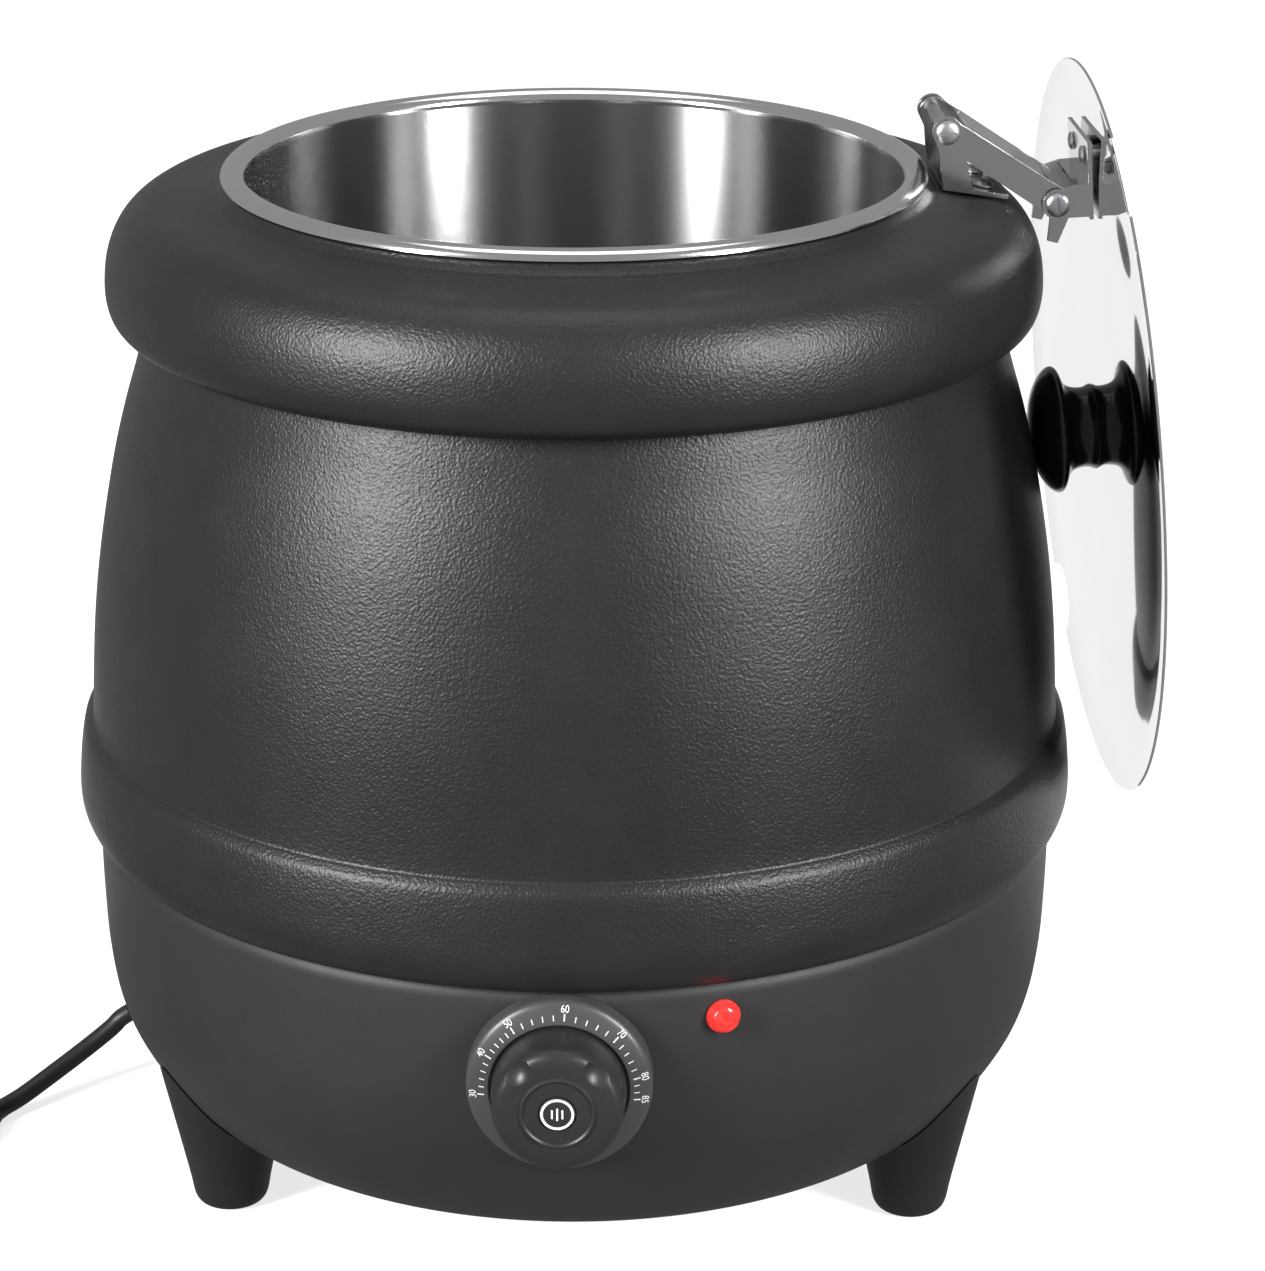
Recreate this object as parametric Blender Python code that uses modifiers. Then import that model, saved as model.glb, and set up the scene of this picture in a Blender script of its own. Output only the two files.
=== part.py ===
"""Soup kettle with a hinged lid, a lift-out food pot and a thermostat.

Metres, +Z up, floor at z = 0, front towards -Y.  Turned pieces stand on the
kettle's own axis, which is an empty set a little off the world origin so that
the origin is the centre of the whole object's box.
"""
import math

import bmesh
import bpy
from mathutils import Euler, Matrix, Vector

# ---------------------------------------------------------------- dimensions
GAP = 0.0003                      # air left between pieces that touch
SEGMENTS = 40                     # steps round a large turned piece
AXIS_X, AXIS_Y = -0.01045, 0.00925  # the kettle's axis in the world

MAX_RADIUS = 0.170                # the rib round the middle
NECK_TOP = 0.3438                 # rim of the collar that the pot hangs on
SHEET = 0.0010                    # stainless sheet
SHELL = 0.0018                    # painted steel shell

POT_RIM_TOP = 0.3475
POT_RADIUS = 0.1075
POT_FLOOR = 0.0925

FEET_AZIMUTHS = {"foot_left": -60, "foot_right": 60, "foot_rear": 180}
FOOT_CIRCLE = 0.134
FOOT_BASE_RADIUS = 0.0095

DIAL_Z = 0.0947
DIAL_WALL = 0.1637                # radius of the bowl behind the dial
DIAL_RADIUS = 0.0292
KNOB_RADIUS = 0.0211
LAMP_AZIMUTH, LAMP_Z = 18.0, 0.1134

HINGE_AZIMUTH = 5.0               # degrees from +X towards the rear
PIN_A = (0.1205, 0.3598)          # radius and height of the pin on the kettle
PIN_B = (0.1576, 0.3353)          # radius and height of the pin on the lid
FLANGE_SLOPE = 9.0                # degrees that the hinge's flange falls outwards
EAR_OUT = (0.0170, 0.0185)        # from, to across the hinge: outer ears
EAR_IN = (0.0148, 0.0163)         # from, to across the hinge: arm's cheeks
PIN_RADIUS = 0.0022

LID_RADIUS = 0.1245
LID_REACH = 0.083                 # pin B to the middle of the lid
LID_DROP = 0.0145                 # pin B above the lid's seat
LID_LEAN = 94.4                   # degrees that the open lid stands from closed

CORD_RADIUS = 0.00325
GLAND_AZIMUTH, GLAND_RADIUS, GLAND_Z = -97.0, 0.1472, 0.0390
GLAND_DIP = 36.0                  # degrees that the cord leaves below level
GLAND_TAIL = 0.0180               # length of the boot outside the wall
COIL_CENTRE = (-0.2690, -0.0340)  # from the kettle's axis
COIL_RADIUS = 0.0356              # to the middle of the turns
COIL_BAND = (4, 2)                # cords side by side, and layers

# ---------------------------------------------------------------- scene tools


def clear_scene():
    for thing in list(bpy.data.objects):
        bpy.data.objects.remove(thing, do_unlink=True)
    for group in list(bpy.data.collections):
        bpy.data.collections.remove(group)


def make_collection(name):
    group = bpy.data.collections.new(name)
    bpy.context.scene.collection.children.link(group)
    return group


clear_scene()
PARTS = make_collection("soup_kettle")
CUTTERS = make_collection("cutters")


def material(name, colour, roughness, metallic=0.0):
    made = bpy.data.materials.new(name)
    made.use_nodes = True
    shader = made.node_tree.nodes["Principled BSDF"]
    shader.inputs["Base Color"].default_value = (*colour, 1.0)
    shader.inputs["Roughness"].default_value = roughness
    shader.inputs["Metallic"].default_value = metallic
    made.diffuse_color = (*colour, 1.0)
    return made


LOOKS = {
    "grained_black": ((0.050, 0.050, 0.053), 0.55, 0.0),
    "matte_black": ((0.060, 0.060, 0.062), 0.60, 0.0),
    "foot_black": ((0.030, 0.030, 0.032), 0.70, 0.0),
    "steel": ((0.62, 0.62, 0.61), 0.28, 1.0),
    "polished_steel": ((0.80, 0.80, 0.79), 0.08, 1.0),
    "zinc": ((0.55, 0.56, 0.58), 0.40, 1.0),
    "brass": ((0.70, 0.52, 0.22), 0.35, 1.0),
    "copper": ((0.72, 0.38, 0.24), 0.35, 1.0),
    "phenolic": ((0.020, 0.020, 0.021), 0.25, 0.0),
    "dial_grey": ((0.11, 0.11, 0.115), 0.45, 0.2),
    "ceramic": ((0.80, 0.78, 0.72), 0.50, 0.0),
    "red_lens": ((0.62, 0.03, 0.03), 0.18, 0.0),
    "cord_black": ((0.018, 0.018, 0.019), 0.50, 0.0),
    "wire_brown": ((0.20, 0.09, 0.04), 0.50, 0.0),
    "wire_blue": ((0.04, 0.12, 0.45), 0.50, 0.0),
    "wire_green": ((0.25, 0.42, 0.05), 0.50, 0.0),
    "silicone": ((0.30, 0.31, 0.32), 0.60, 0.0),
}


def look_of(node, look):
    """A material of the piece's own, named for the piece."""
    colour, roughness, metallic = LOOKS[look]
    return material(node, colour, roughness, metallic)


def add(name, data, look, parent, at=(0, 0, 0), turn=(0, 0, 0), smooth=True):
    made = bpy.data.objects.new(name, data)
    PARTS.objects.link(made)
    made.parent = parent
    made.location = at
    made.rotation_euler = turn
    if look:
        data.materials.clear()
        data.materials.append(look_of(name, look))
    if smooth and hasattr(data, "polygons"):
        for face in data.polygons:
            face.use_smooth = True
    return made


def empty(name, parent=None, at=(0, 0, 0), turn=(0, 0, 0)):
    made = bpy.data.objects.new(name, None)
    PARTS.objects.link(made)
    made.parent = parent
    made.location = at
    made.rotation_euler = turn
    return made


def as_cutter(made):
    PARTS.objects.unlink(made)
    CUTTERS.objects.link(made)
    made.hide_render = True
    made.display_type = "WIRE"
    return made


def boolean(target, tool, operation="DIFFERENCE"):
    step = target.modifiers.new(operation.lower(), "BOOLEAN")
    step.operation = operation
    step.solver = "EXACT"
    step.object = tool
    return step


# ---------------------------------------------------------------- shape tools


def polar(azimuth, radius, height=0.0):
    """A point at an azimuth in degrees, counted from the front towards +X."""
    turn = math.radians(azimuth)
    return Vector((radius * math.sin(turn), -radius * math.cos(turn), height))


def facing(direction):
    """Euler angles that turn +Z to a direction."""
    return Vector(direction).to_track_quat("Z", "Y").to_euler()


def profile_mesh(name, points):
    mesh = bpy.data.meshes.new(name)
    rows = [(radius, 0.0, height) for radius, height in points]
    mesh.from_pydata(rows, [(i, i + 1) for i in range(len(rows) - 1)], [])
    return mesh


def turned(name, points, look, parent, wall=0.0, side=-1, segments=SEGMENTS, at=(0, 0, 0), turn=(0, 0, 0)):
    """A profile of (radius, height) points turned round Z; wall makes it a shell."""
    made = add(name, profile_mesh(name, points), look, parent, at, turn, smooth=False)
    spin = made.modifiers.new("turn", "SCREW")
    spin.steps = spin.render_steps = segments
    spin.use_merge_vertices = True
    spin.merge_threshold = 0.00001
    spin.use_smooth_shade = True
    if wall:
        shell = made.modifiers.new("wall", "SOLIDIFY")
        shell.thickness = wall
        shell.offset = side
        shell.use_even_offset = True
    return made


def cylinder_mesh(name, radius, length, segments=20, top=None):
    mesh = bpy.data.meshes.new(name)
    form = bmesh.new()
    bmesh.ops.create_cone(form, cap_ends=True, segments=segments, radius1=radius,
                          radius2=radius if top is None else top, depth=length)
    bmesh.ops.translate(form, verts=form.verts, vec=(0, 0, length / 2))
    form.to_mesh(mesh)
    form.free()
    return mesh


def cylinder(name, radius, length, look, parent, at, turn=(0, 0, 0), segments=20, top=None):
    """A cylinder or cone that starts at its foot and runs along its own +Z."""
    return add(name, cylinder_mesh(name, radius, length, segments, top), look, parent, at, turn, smooth=False)


def box(name, size, look, parent, at, turn=(0, 0, 0), bevel=0.0):
    mesh = bpy.data.meshes.new(name)
    form = bmesh.new()
    bmesh.ops.create_cube(form, size=1.0)
    bmesh.ops.scale(form, vec=size, verts=form.verts)
    form.to_mesh(mesh)
    form.free()
    made = add(name, mesh, look, parent, at, turn, smooth=False)
    if bevel:
        soften(made, bevel)
    return made


def soften(made, width, segments=1):
    edge = made.modifiers.new("edges", "BEVEL")
    edge.width = width
    edge.segments = segments
    edge.limit_method = "ANGLE"
    edge.angle_limit = math.radians(40)


def merge_meshes(name, pieces):
    """One mesh of several (mesh, matrix) pieces that don't touch."""
    whole = bmesh.new()
    for mesh, place in pieces:
        mesh.transform(place)
        whole.from_mesh(mesh)
        bpy.data.meshes.remove(mesh)
    mesh = bpy.data.meshes.new(name)
    whole.to_mesh(mesh)
    whole.free()
    return mesh


def outline_mesh(name, points, thickness):
    """A flat plate in XY from an outline, half its thickness each way in Z."""
    curve = bpy.data.curves.new(name, "CURVE")
    curve.dimensions = "2D"
    curve.fill_mode = "BOTH"
    curve.extrude = thickness / 2
    line = curve.splines.new("POLY")
    line.points.add(len(points) - 1)
    for spot, (x, y) in zip(line.points, points):
        spot.co = (x, y, 0, 1)
    line.use_cyclic_u = True
    carrier = bpy.data.objects.new(name, curve)
    PARTS.objects.link(carrier)
    bpy.context.view_layer.update()
    mesh = bpy.data.meshes.new_from_object(carrier.evaluated_get(bpy.context.evaluated_depsgraph_get()))
    bpy.data.objects.remove(carrier, do_unlink=True)
    form = bmesh.new()
    form.from_mesh(mesh)
    bmesh.ops.remove_doubles(form, verts=form.verts, dist=0.00001)
    form.to_mesh(mesh)
    form.free()
    return mesh


def arc(centre, radius, start, end, count=8):
    """Points on an arc, in degrees, both ends included."""
    steps = [math.radians(start + (end - start) * i / count) for i in range(count + 1)]
    return [(centre[0] + radius * math.cos(a), centre[1] + radius * math.sin(a)) for a in steps]


def smooth_route(points, spacing):
    """Evenly spaced points on a Catmull-Rom curve through a route's own points."""
    spots = [Vector(p) for p in points]
    spots = [2 * spots[0] - spots[1]] + spots + [2 * spots[-1] - spots[-2]]
    fine = []
    for before, here, there, after in zip(spots, spots[1:], spots[2:], spots[3:]):
        for i in range(24):
            t = i / 24
            fine.append(0.5 * (2 * here + (there - before) * t
                               + (2 * before - 5 * here + 4 * there - after) * t * t
                               + (3 * here - before - 3 * there + after) * t * t * t))
    fine.append(spots[-2])
    total = sum((b - a).length for a, b in zip(fine, fine[1:]))
    step = total / max(1, round(total / spacing))
    route, walked = [fine[0]], 0.0
    for a, b in zip(fine, fine[1:]):
        reach = (b - a).length
        while walked + reach >= step * len(route) and len(route) * step < total - step / 2:
            route.append(a.lerp(b, (step * len(route) - walked) / reach))
        walked += reach
    route.append(fine[-1])
    return route


def tube(name, points, radius, look, parent, spacing, resolution=1):
    curve = bpy.data.curves.new(name, "CURVE")
    curve.dimensions = "3D"
    curve.bevel_depth = radius
    curve.bevel_resolution = resolution
    curve.use_fill_caps = True
    line = curve.splines.new("POLY")
    route = smooth_route(points, spacing)
    line.points.add(len(route) - 1)
    for spot, point in zip(line.points, route):
        spot.co = (*point, 1)
    return add(name, curve, look, parent, smooth=False)


def hole(name, target, radius, length, parent, at, turn=(0, 0, 0), segments=16):
    tool = as_cutter(cylinder(name, radius, length, None, parent, at, turn, segments))
    boolean(target, tool)
    return tool


def hole_ring(name, targets, radius, length, parent, spots, segments=12):
    """One cutter with a straight hole at each (position, angles) spot."""
    pieces = [(cylinder_mesh(name, radius, length, segments),
               Matrix.LocRotScale(Vector(at), Euler(turn), None)) for at, turn in spots]
    tool = as_cutter(add(name, merge_meshes(name, pieces), None, parent))
    for target in targets:
        boolean(target, tool)


def screw_mesh(name, head_radius, head_height, shank_radius, shank_length, segments=10):
    """A screw with its head above z = 0 and its shank below, as one turned solid."""
    mesh = bpy.data.meshes.new(name)
    form = bmesh.new()
    rows = [(0, head_height), (head_radius * 0.7, head_height), (head_radius, 0), (shank_radius, 0),
            (shank_radius, -shank_length), (0, -shank_length)]
    dots = [form.verts.new((r, 0, z)) for r, z in rows]
    edges = [form.edges.new(pair) for pair in zip(dots, dots[1:])]
    bmesh.ops.spin(form, geom=dots + edges, cent=(0, 0, 0), axis=(0, 0, 1), angle=math.tau,
                   steps=segments, use_merge=True)
    bmesh.ops.remove_doubles(form, verts=form.verts, dist=0.00001)
    bmesh.ops.recalc_face_normals(form, faces=form.faces)
    form.to_mesh(mesh)
    form.free()
    return mesh


def screws(name, sizes, look, parent, spots):
    """Equal screws that share a mesh, one at each (position, angles) spot."""
    mesh = screw_mesh(name, *sizes)
    for face in mesh.polygons:
        face.use_smooth = True
    mesh.materials.append(look_of(name, look))
    for number, (at, turn) in enumerate(spots, start=1):
        label = f"{name}_{number}" if len(spots) > 1 else name
        add(label, mesh, None, parent, at, turn)


# ---------------------------------------------------------------- profiles
# (radius, height) down the outside of each turned piece

COLLAR = [(0.1106, 0.3360), (0.1106, 0.3430), (0.1116, NECK_TOP), (0.1150, NECK_TOP), (0.1180, 0.3404),
          (0.1370, 0.3374), (0.1475, 0.3320), (0.1536, 0.3203), (0.1547, 0.3100), (0.1530, 0.3020),
          (0.1475, 0.2980), (0.1424, 0.2971)]

BARREL = [(0.1392, 0.3040), (0.1434, 0.2900), (0.1515, 0.2620), (0.1588, 0.2260), (0.1630, 0.1920),
          (0.1650, 0.1615), (0.1680, 0.1575), (MAX_RADIUS, 0.1400), (0.1686, 0.1295), (0.1649, 0.1250)]

BOWL = [(0.1612, 0.1310), (0.1618, 0.1246), (0.1636, 0.1205), (DIAL_WALL - 0.0001, 0.0980), (0.1614, 0.0690),
        (0.1560, 0.0525), (0.1481, 0.0400), (0.1400, 0.0318), (0.1330, 0.0280), (0.1290, 0.0263), (0.1180, 0.0260)]

POT = [(0.1162, 0.3444), (0.1151, 0.3464), (0.1120, POT_RIM_TOP), (0.1090, 0.3466), (POT_RADIUS, 0.3436),
       (POT_RADIUS, POT_FLOOR + 0.0180), (0.1040, POT_FLOOR + 0.0070), (0.0960, POT_FLOOR + 0.0010),
       (0.0880, POT_FLOOR), (0.0, POT_FLOOR)]

TUB = [(0.1310, 0.3305), (0.1214, 0.3305), (0.1204, 0.3285), (0.1204, 0.0830), (0.1110, 0.0730),
       (0.0, 0.0726)]

LID = [(0.0, 0.0024), (0.0700, 0.0021), (0.1050, 0.0010), (0.1140, 0.0010), (LID_RADIUS, 0.0025)]

LID_KNOB = [(0.0, 0.0216), (0.0090, 0.0211), (0.0160, 0.0187), (0.0205, 0.0155), (0.0215, 0.0130),
            (0.0200, 0.0112), (0.0150, 0.0088), (0.0134, 0.0050), (0.0140, GAP), (0.0, GAP)]

# ---------------------------------------------------------------- the casing

AXIS = empty("kettle_axis", at=(AXIS_X, AXIS_Y, 0))


def casing():
    collar = turned("collar_ring", COLLAR, "grained_black", AXIS, wall=0.0016)
    barrel = turned("barrel_shell", BARREL, "grained_black", AXIS, wall=0.0014)
    bowl = turned("lower_bowl", BOWL, "matte_black", AXIS, wall=0.0022)
    turned("water_tub", TUB, "steel", AXIS, wall=SHEET, side=1)
    seal = ((0.1235, 0.1295), (0.3308, 0.3362))
    (inner, outer), (low, high) = seal
    turned("tub_seal", [(outer, high), (outer, low), (inner, low), (inner, high), (outer, high)],
           "silicone", AXIS)
    return collar, barrel, bowl


def base_plate():
    disc = cylinder("base_plate", 0.1262, 0.0012, "zinc", AXIS, (0, 0, 0.0289), segments=SEGMENTS)
    slot = (0.004, 0.026, 0.010)
    pieces = []
    for azimuth in range(0, 360, 30):
        mesh = bpy.data.meshes.new("slot")
        form = bmesh.new()
        bmesh.ops.create_cube(form, size=1.0)
        bmesh.ops.scale(form, vec=slot, verts=form.verts)
        form.to_mesh(mesh)
        form.free()
        spot = polar(azimuth + 15, 0.060, 0.0294)
        pieces.append((mesh, Matrix.LocRotScale(spot, Euler((0, 0, math.radians(azimuth + 15))), None)))
    boolean(disc, as_cutter(add("vent_cutter", merge_meshes("vent_cutter", pieces), None, AXIS)))
    return disc


def base_screws(bowl, disc):
    spots = [(polar(azimuth, 0.1222, 0.0257), (math.pi, 0, 0)) for azimuth in (0, 120, 240)]
    screws("base_screw", (0.0034, 0.0022, 0.0015, 0.0100), "zinc", AXIS, spots)
    holes = [(polar(azimuth, 0.1222, 0.0200), (0, 0, 0)) for azimuth in (0, 120, 240)]
    hole_ring("base_screw_holes", (bowl, disc), 0.0019, 0.0150, AXIS, holes)


def feet(bowl):
    """Blunt rubber cones under the bowl, each held by a screw up its middle."""
    relief = [(radius + 0.0005, height - 0.0003) for radius, height in BOWL[2:]]
    shape = [(0.0, 0.150)] + [(relief[0][0], 0.150)] + relief + [(0.0, relief[-1][1])]
    bowl_cutter = as_cutter(turned("bowl_cutter", shape, None, AXIS))
    profile = [(0.0, 0.0580), (0.0240, 0.0580), (0.0132, 0.0060), (0.0120, 0.0022), (FOOT_BASE_RADIUS, 0.0),
               (0.0, 0.0)]
    holes, bolts = [], []
    for name, azimuth in FEET_AZIMUTHS.items():
        spot = polar(azimuth, FOOT_CIRCLE)
        foot = turned(name, profile, "foot_black", AXIS, segments=20, at=spot)
        boolean(foot, bowl_cutter)
        hole(name + "_bore", foot, 0.0023, 0.0600, AXIS, spot - Vector((0, 0, 0.005)), segments=12)
        hole(name + "_recess", foot, 0.0048, 0.0140, AXIS, spot - Vector((0, 0, 0.008)), segments=16)
        holes.append((spot + Vector((0, 0, 0.0150)), (0, 0, 0)))
        bolts.append((spot + Vector((0, 0, 0.0057)), (math.pi, 0, 0)))
        nut_name = name.replace("foot", "foot_nut")
        nut = cylinder(nut_name, 0.0042, 0.0032, "zinc", AXIS, spot + Vector((0, 0, 0.0345)), segments=6)
        hole(nut_name + "_bore", nut, 0.0021, 0.0200, AXIS, spot + Vector((0, 0, 0.0300)), segments=12)
    hole_ring("foot_screw_holes", (bowl,), 0.0023, 0.0300, AXIS, holes)
    screws("foot_screw", (0.0038, 0.0024, 0.0018, 0.0380), "zinc", AXIS, bolts)


# ---------------------------------------------------------------- works inside


def heating():
    loop = [polar(azimuth, 0.070, 0.0672) for azimuth in range(15, 346, 30)]
    legs_in = [polar(15, 0.070, 0.0470), polar(15, 0.070, 0.0570), polar(15, 0.070, 0.0640)]
    legs_out = [polar(345, 0.070, 0.0640), polar(345, 0.070, 0.0570), polar(345, 0.070, 0.0470)]
    tube("heating_element", legs_in + loop + legs_out, 0.0038, "copper", AXIS, 0.015)
    box("element_clamp", (0.012, 0.170, 0.0020), "zinc", AXIS, (0, 0.0, 0.0610),
        turn=(0, 0, math.radians(90)))
    cylinder("overheat_cutout", 0.0085, 0.0090, "ceramic", AXIS, (0.030, 0.032, 0.0620))
    box("terminal_block", (0.038, 0.020, 0.016), "ceramic", AXIS, (-0.062, 0.052, 0.0392), bevel=0.0012)


def thermostat(bowl):
    front = Vector((0, -0.1588, DIAL_Z))
    body = box("thermostat_body", (0.034, 0.024, 0.034), "phenolic", AXIS, front + Vector((0, 0.0135, 0)))
    bush = as_cutter(cylinder("thermostat_bush", 0.0050, 0.0130, None, AXIS, front + Vector((0, 0.0030, 0)),
                              turn=(math.pi / 2, 0, 0), segments=20))
    boolean(body, bush, "UNION")
    hole("thermostat_bore", body, 0.0034, 0.0300, AXIS, front + Vector((0, 0.0140, 0)),
         turn=(math.pi / 2, 0, 0), segments=20)
    hole("bowl_thermostat_hole", bowl, 0.0056, 0.0200, AXIS, front + Vector((0, 0.0050, 0)),
         turn=(math.pi / 2, 0, 0), segments=20)
    nut = cylinder("thermostat_nut", 0.0078, 0.0030, "zinc", AXIS, (0, -0.1641, DIAL_Z),
                   turn=(math.pi / 2, 0, 0), segments=6)
    hole("nut_bore", nut, 0.0053, 0.0100, AXIS, (0, -0.1610, DIAL_Z), turn=(math.pi / 2, 0, 0), segments=20)
    bulb = cylinder("thermostat_bulb", 0.0035, 0.0360, "copper", AXIS, polar(12, 0.1254, 0.0880), segments=12)
    bulb_foot = polar(12, 0.1254, 0.0877)
    tube("capillary_tube", [(0.010, -0.1325, 0.0850), (0.011, -0.1300, 0.0835),
                            (bulb_foot.x - 0.006, bulb_foot.y, 0.0720), (bulb_foot.x, bulb_foot.y, 0.0790),
                            tuple(bulb_foot)], 0.0009, "copper", AXIS, 0.004)
    return bulb


def wiring():
    """Live, neutral and earth wires from the gland to the works."""
    along = gland_direction()
    sideways = along.cross(Vector((0, 0, 1))).normalized()
    block = Vector((-0.062, 0.052, 0.0392))
    left = block.x - 0.0200
    for name, look, spread, height in (("wire_live_in", "wire_brown", -0.0055, 0.0035),
                                       ("wire_neutral_in", "wire_blue", 0.0, 0.0),
                                       ("wire_earth_in", "wire_green", 0.0055, -0.0035)):
        start = gland_point(-0.0125) + sideways * spread * 0.6
        tube(name, [start, start - along * 0.0090 + Vector((-0.4, 0.3, 0)) * spread,
                    (-0.106 - spread * 0.9, block.y - 0.003 + spread * 0.8, block.z + height + 0.002),
                    (left - 0.012, block.y + spread, block.z + height),
                    (left, block.y + spread, block.z + height)],
             0.0012, look, AXIS, 0.009)
    right = block.x + 0.0200
    leg = polar(345, 0.070, 0.0440)
    tube("wire_neutral_element", [(right, block.y, block.z), (right + 0.009, block.y - 0.002, block.z),
                                  (-0.022, 0.010, 0.0400), (leg.x, leg.y + 0.012, 0.0410),
                                  (leg.x, leg.y + 0.003, 0.0422), (leg.x, leg.y, 0.0456)],
         0.0012, "wire_blue", AXIS, 0.012)
    tube("wire_live_thermostat", [(right, block.y - 0.0055, block.z + 0.0035),
                                  (right + 0.010, block.y - 0.008, block.z + 0.0035),
                                  (0.006, -0.030, 0.0450), (0.005, -0.110, 0.0560),
                                  (0.003, -0.1410, 0.0660), (0.003, -0.1450, 0.0762)],
         0.0012, "wire_brown", AXIS, 0.012)
    cutout = Vector((0.030, 0.032, 0.0612))
    tube("wire_live_cutout", [tuple(cutout), (cutout.x, cutout.y, 0.0570), (0.034, 0.012, 0.0500),
                              (0.028, -0.070, 0.0560), (0.018, -0.120, 0.0640), (0.0105, -0.1410, 0.0680),
                              (0.0105, -0.1450, 0.0762)],
         0.0012, "wire_brown", AXIS, 0.012)


def lamp(bowl):
    """A neon lamp clipped through the wall, its red lens outside."""
    wall = polar(LAMP_AZIMUTH, 0.1637, LAMP_Z)
    out = polar(LAMP_AZIMUTH, 1.0).normalized()
    outwards = facing(out)
    hole("bowl_lamp_hole", bowl, 0.0046, 0.0200, AXIS, wall - out * 0.0120, turn=outwards, segments=20)
    cylinder("indicator_lamp", 0.0042, 0.0260, "phenolic", AXIS, wall - out * 0.0262, turn=outwards, segments=16)
    rows = [(0.0, 0.0046), (0.0030, 0.0044), (0.0046, 0.0036), (0.0052, 0.0020), (0.0054, 0.0), (0.0, 0.0)]
    turned("lamp_lens", rows, "red_lens", AXIS, segments=16, at=wall + out * 0.0003, turn=outwards)


# ---------------------------------------------------------------- dial and knob


def dial():
    """The fixed grey ring with the temperature scale, hollow behind to fit the bowl."""
    rows = [(0.0216, 0.0072), (0.0232, 0.0071), (DIAL_RADIUS - 0.0012, 0.0050), (DIAL_RADIUS, 0.0042),
            (DIAL_RADIUS, -0.0060), (0.0100, -0.0060), (0.0100, 0.0054), (0.0214, 0.0054), (0.0216, 0.0072)]
    facing_front = (math.pi / 2, 0, 0)
    plate = turned("dial_plate", rows, "dial_grey", AXIS, segments=32,
                   at=(0, -DIAL_WALL - 0.0003, DIAL_Z), turn=facing_front)
    relief = [(radius + 0.0003, height) for radius, height in BOWL[2:6]]
    shape = [(0.0, 0.1400), (0.1640, 0.1400)] + relief + [(0.0, relief[-1][1])]
    boolean(plate, as_cutter(turned("dial_back_cutter", shape, None, AXIS, segments=96)))


def thermostat_knob(axis):
    """A round cap with a pointer nib, two finger dimples and its shaft."""
    rows = [(0.0, 0.0178), (0.0104, 0.0178), (0.0112, 0.0186), (0.0122, 0.0178), (0.0180, 0.0175),
            (0.0200, 0.0160), (KNOB_RADIUS, 0.0120), (KNOB_RADIUS, 0.0003), (0.0, 0.0003)]
    knob = turned("thermostat_knob", rows, "phenolic", axis, segments=32)
    nib = as_cutter(box("knob_nib", (0.0040, 0.0110, 0.0060), None, axis, (0, -0.0200, 0.0052)))
    boolean(knob, nib, "UNION")
    for side in (-1, 1):
        spot = Vector((0.0140 * side, 0.0150, 0.0222))
        ball = bpy.data.meshes.new("dimple")
        form = bmesh.new()
        bmesh.ops.create_uvsphere(form, u_segments=12, v_segments=8, radius=0.0075)
        form.to_mesh(ball)
        form.free()
        boolean(knob, as_cutter(add("knob_dimple", ball, None, axis, at=spot)))
    hole("knob_shaft_bore", knob, 0.0033, 0.0140, axis, (0, 0, -0.0020), segments=16)
    recess = as_cutter(cylinder("knob_insert_recess", 0.0060, 0.0020, None, axis, (0, 0, 0.0168), segments=24))
    boolean(knob, recess)
    cylinder("knob_insert", 0.0057, 0.0009, "dial_grey", axis, (0, 0, 0.0171), segments=24)
    cylinder("thermostat_shaft", 0.0030, 0.0260, "zinc", axis, (0, 0, -0.0145), segments=16)


# ---------------------------------------------------------------- hinge and lid


def upright(outline, name, thickness):
    """A plate whose outline is (out, up), standing across the hinge."""
    mesh = outline_mesh(name, outline, thickness)
    mesh.transform(Matrix.Rotation(math.pi / 2, 4, "X"))
    return mesh


def across(ears, side):
    return side * (ears[0] + ears[1]) / 2


def pair(name, outline, ears):
    """Two equal upright plates, one at each side of the hinge."""
    width = ears[1] - ears[0]
    pieces = [(upright(outline, name, width), Matrix.Translation((0, across(ears, side), 0))) for side in (-1, 1)]
    return merge_meshes(name, pieces)


def pin_hole(name, target, parent, at=(0, 0, 0)):
    spot = Vector(at) + Vector((0, 0.030, 0))
    hole(name, target, PIN_RADIUS + 0.0002, 0.060, parent, spot, turn=(math.pi / 2, 0, 0), segments=16)


def pin(name, parent, at=(0, 0, 0)):
    """A straight pin with a flat head at each end."""
    head, half = 0.0040, EAR_OUT[1] + GAP
    rows = [(0.0, half + 0.0016), (head * 0.8, half + 0.0016), (head, half + 0.0008), (head, half),
            (PIN_RADIUS, half), (PIN_RADIUS, -half), (head, -half), (head, -half - 0.0008),
            (head * 0.8, -half - 0.0016), (0.0, -half - 0.0016)]
    return turned(name, rows, "polished_steel", parent, segments=16, at=at, turn=(math.pi / 2, 0, 0))


def flange_point(along, up):
    """A point of the hinge's flange, which slopes with the collar's top."""
    slope = math.radians(FLANGE_SLOPE)
    return Vector((0.1302 + along * math.cos(slope) + up * math.sin(slope), 0,
                   0.3388 - along * math.sin(slope) + up * math.cos(slope)))


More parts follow.
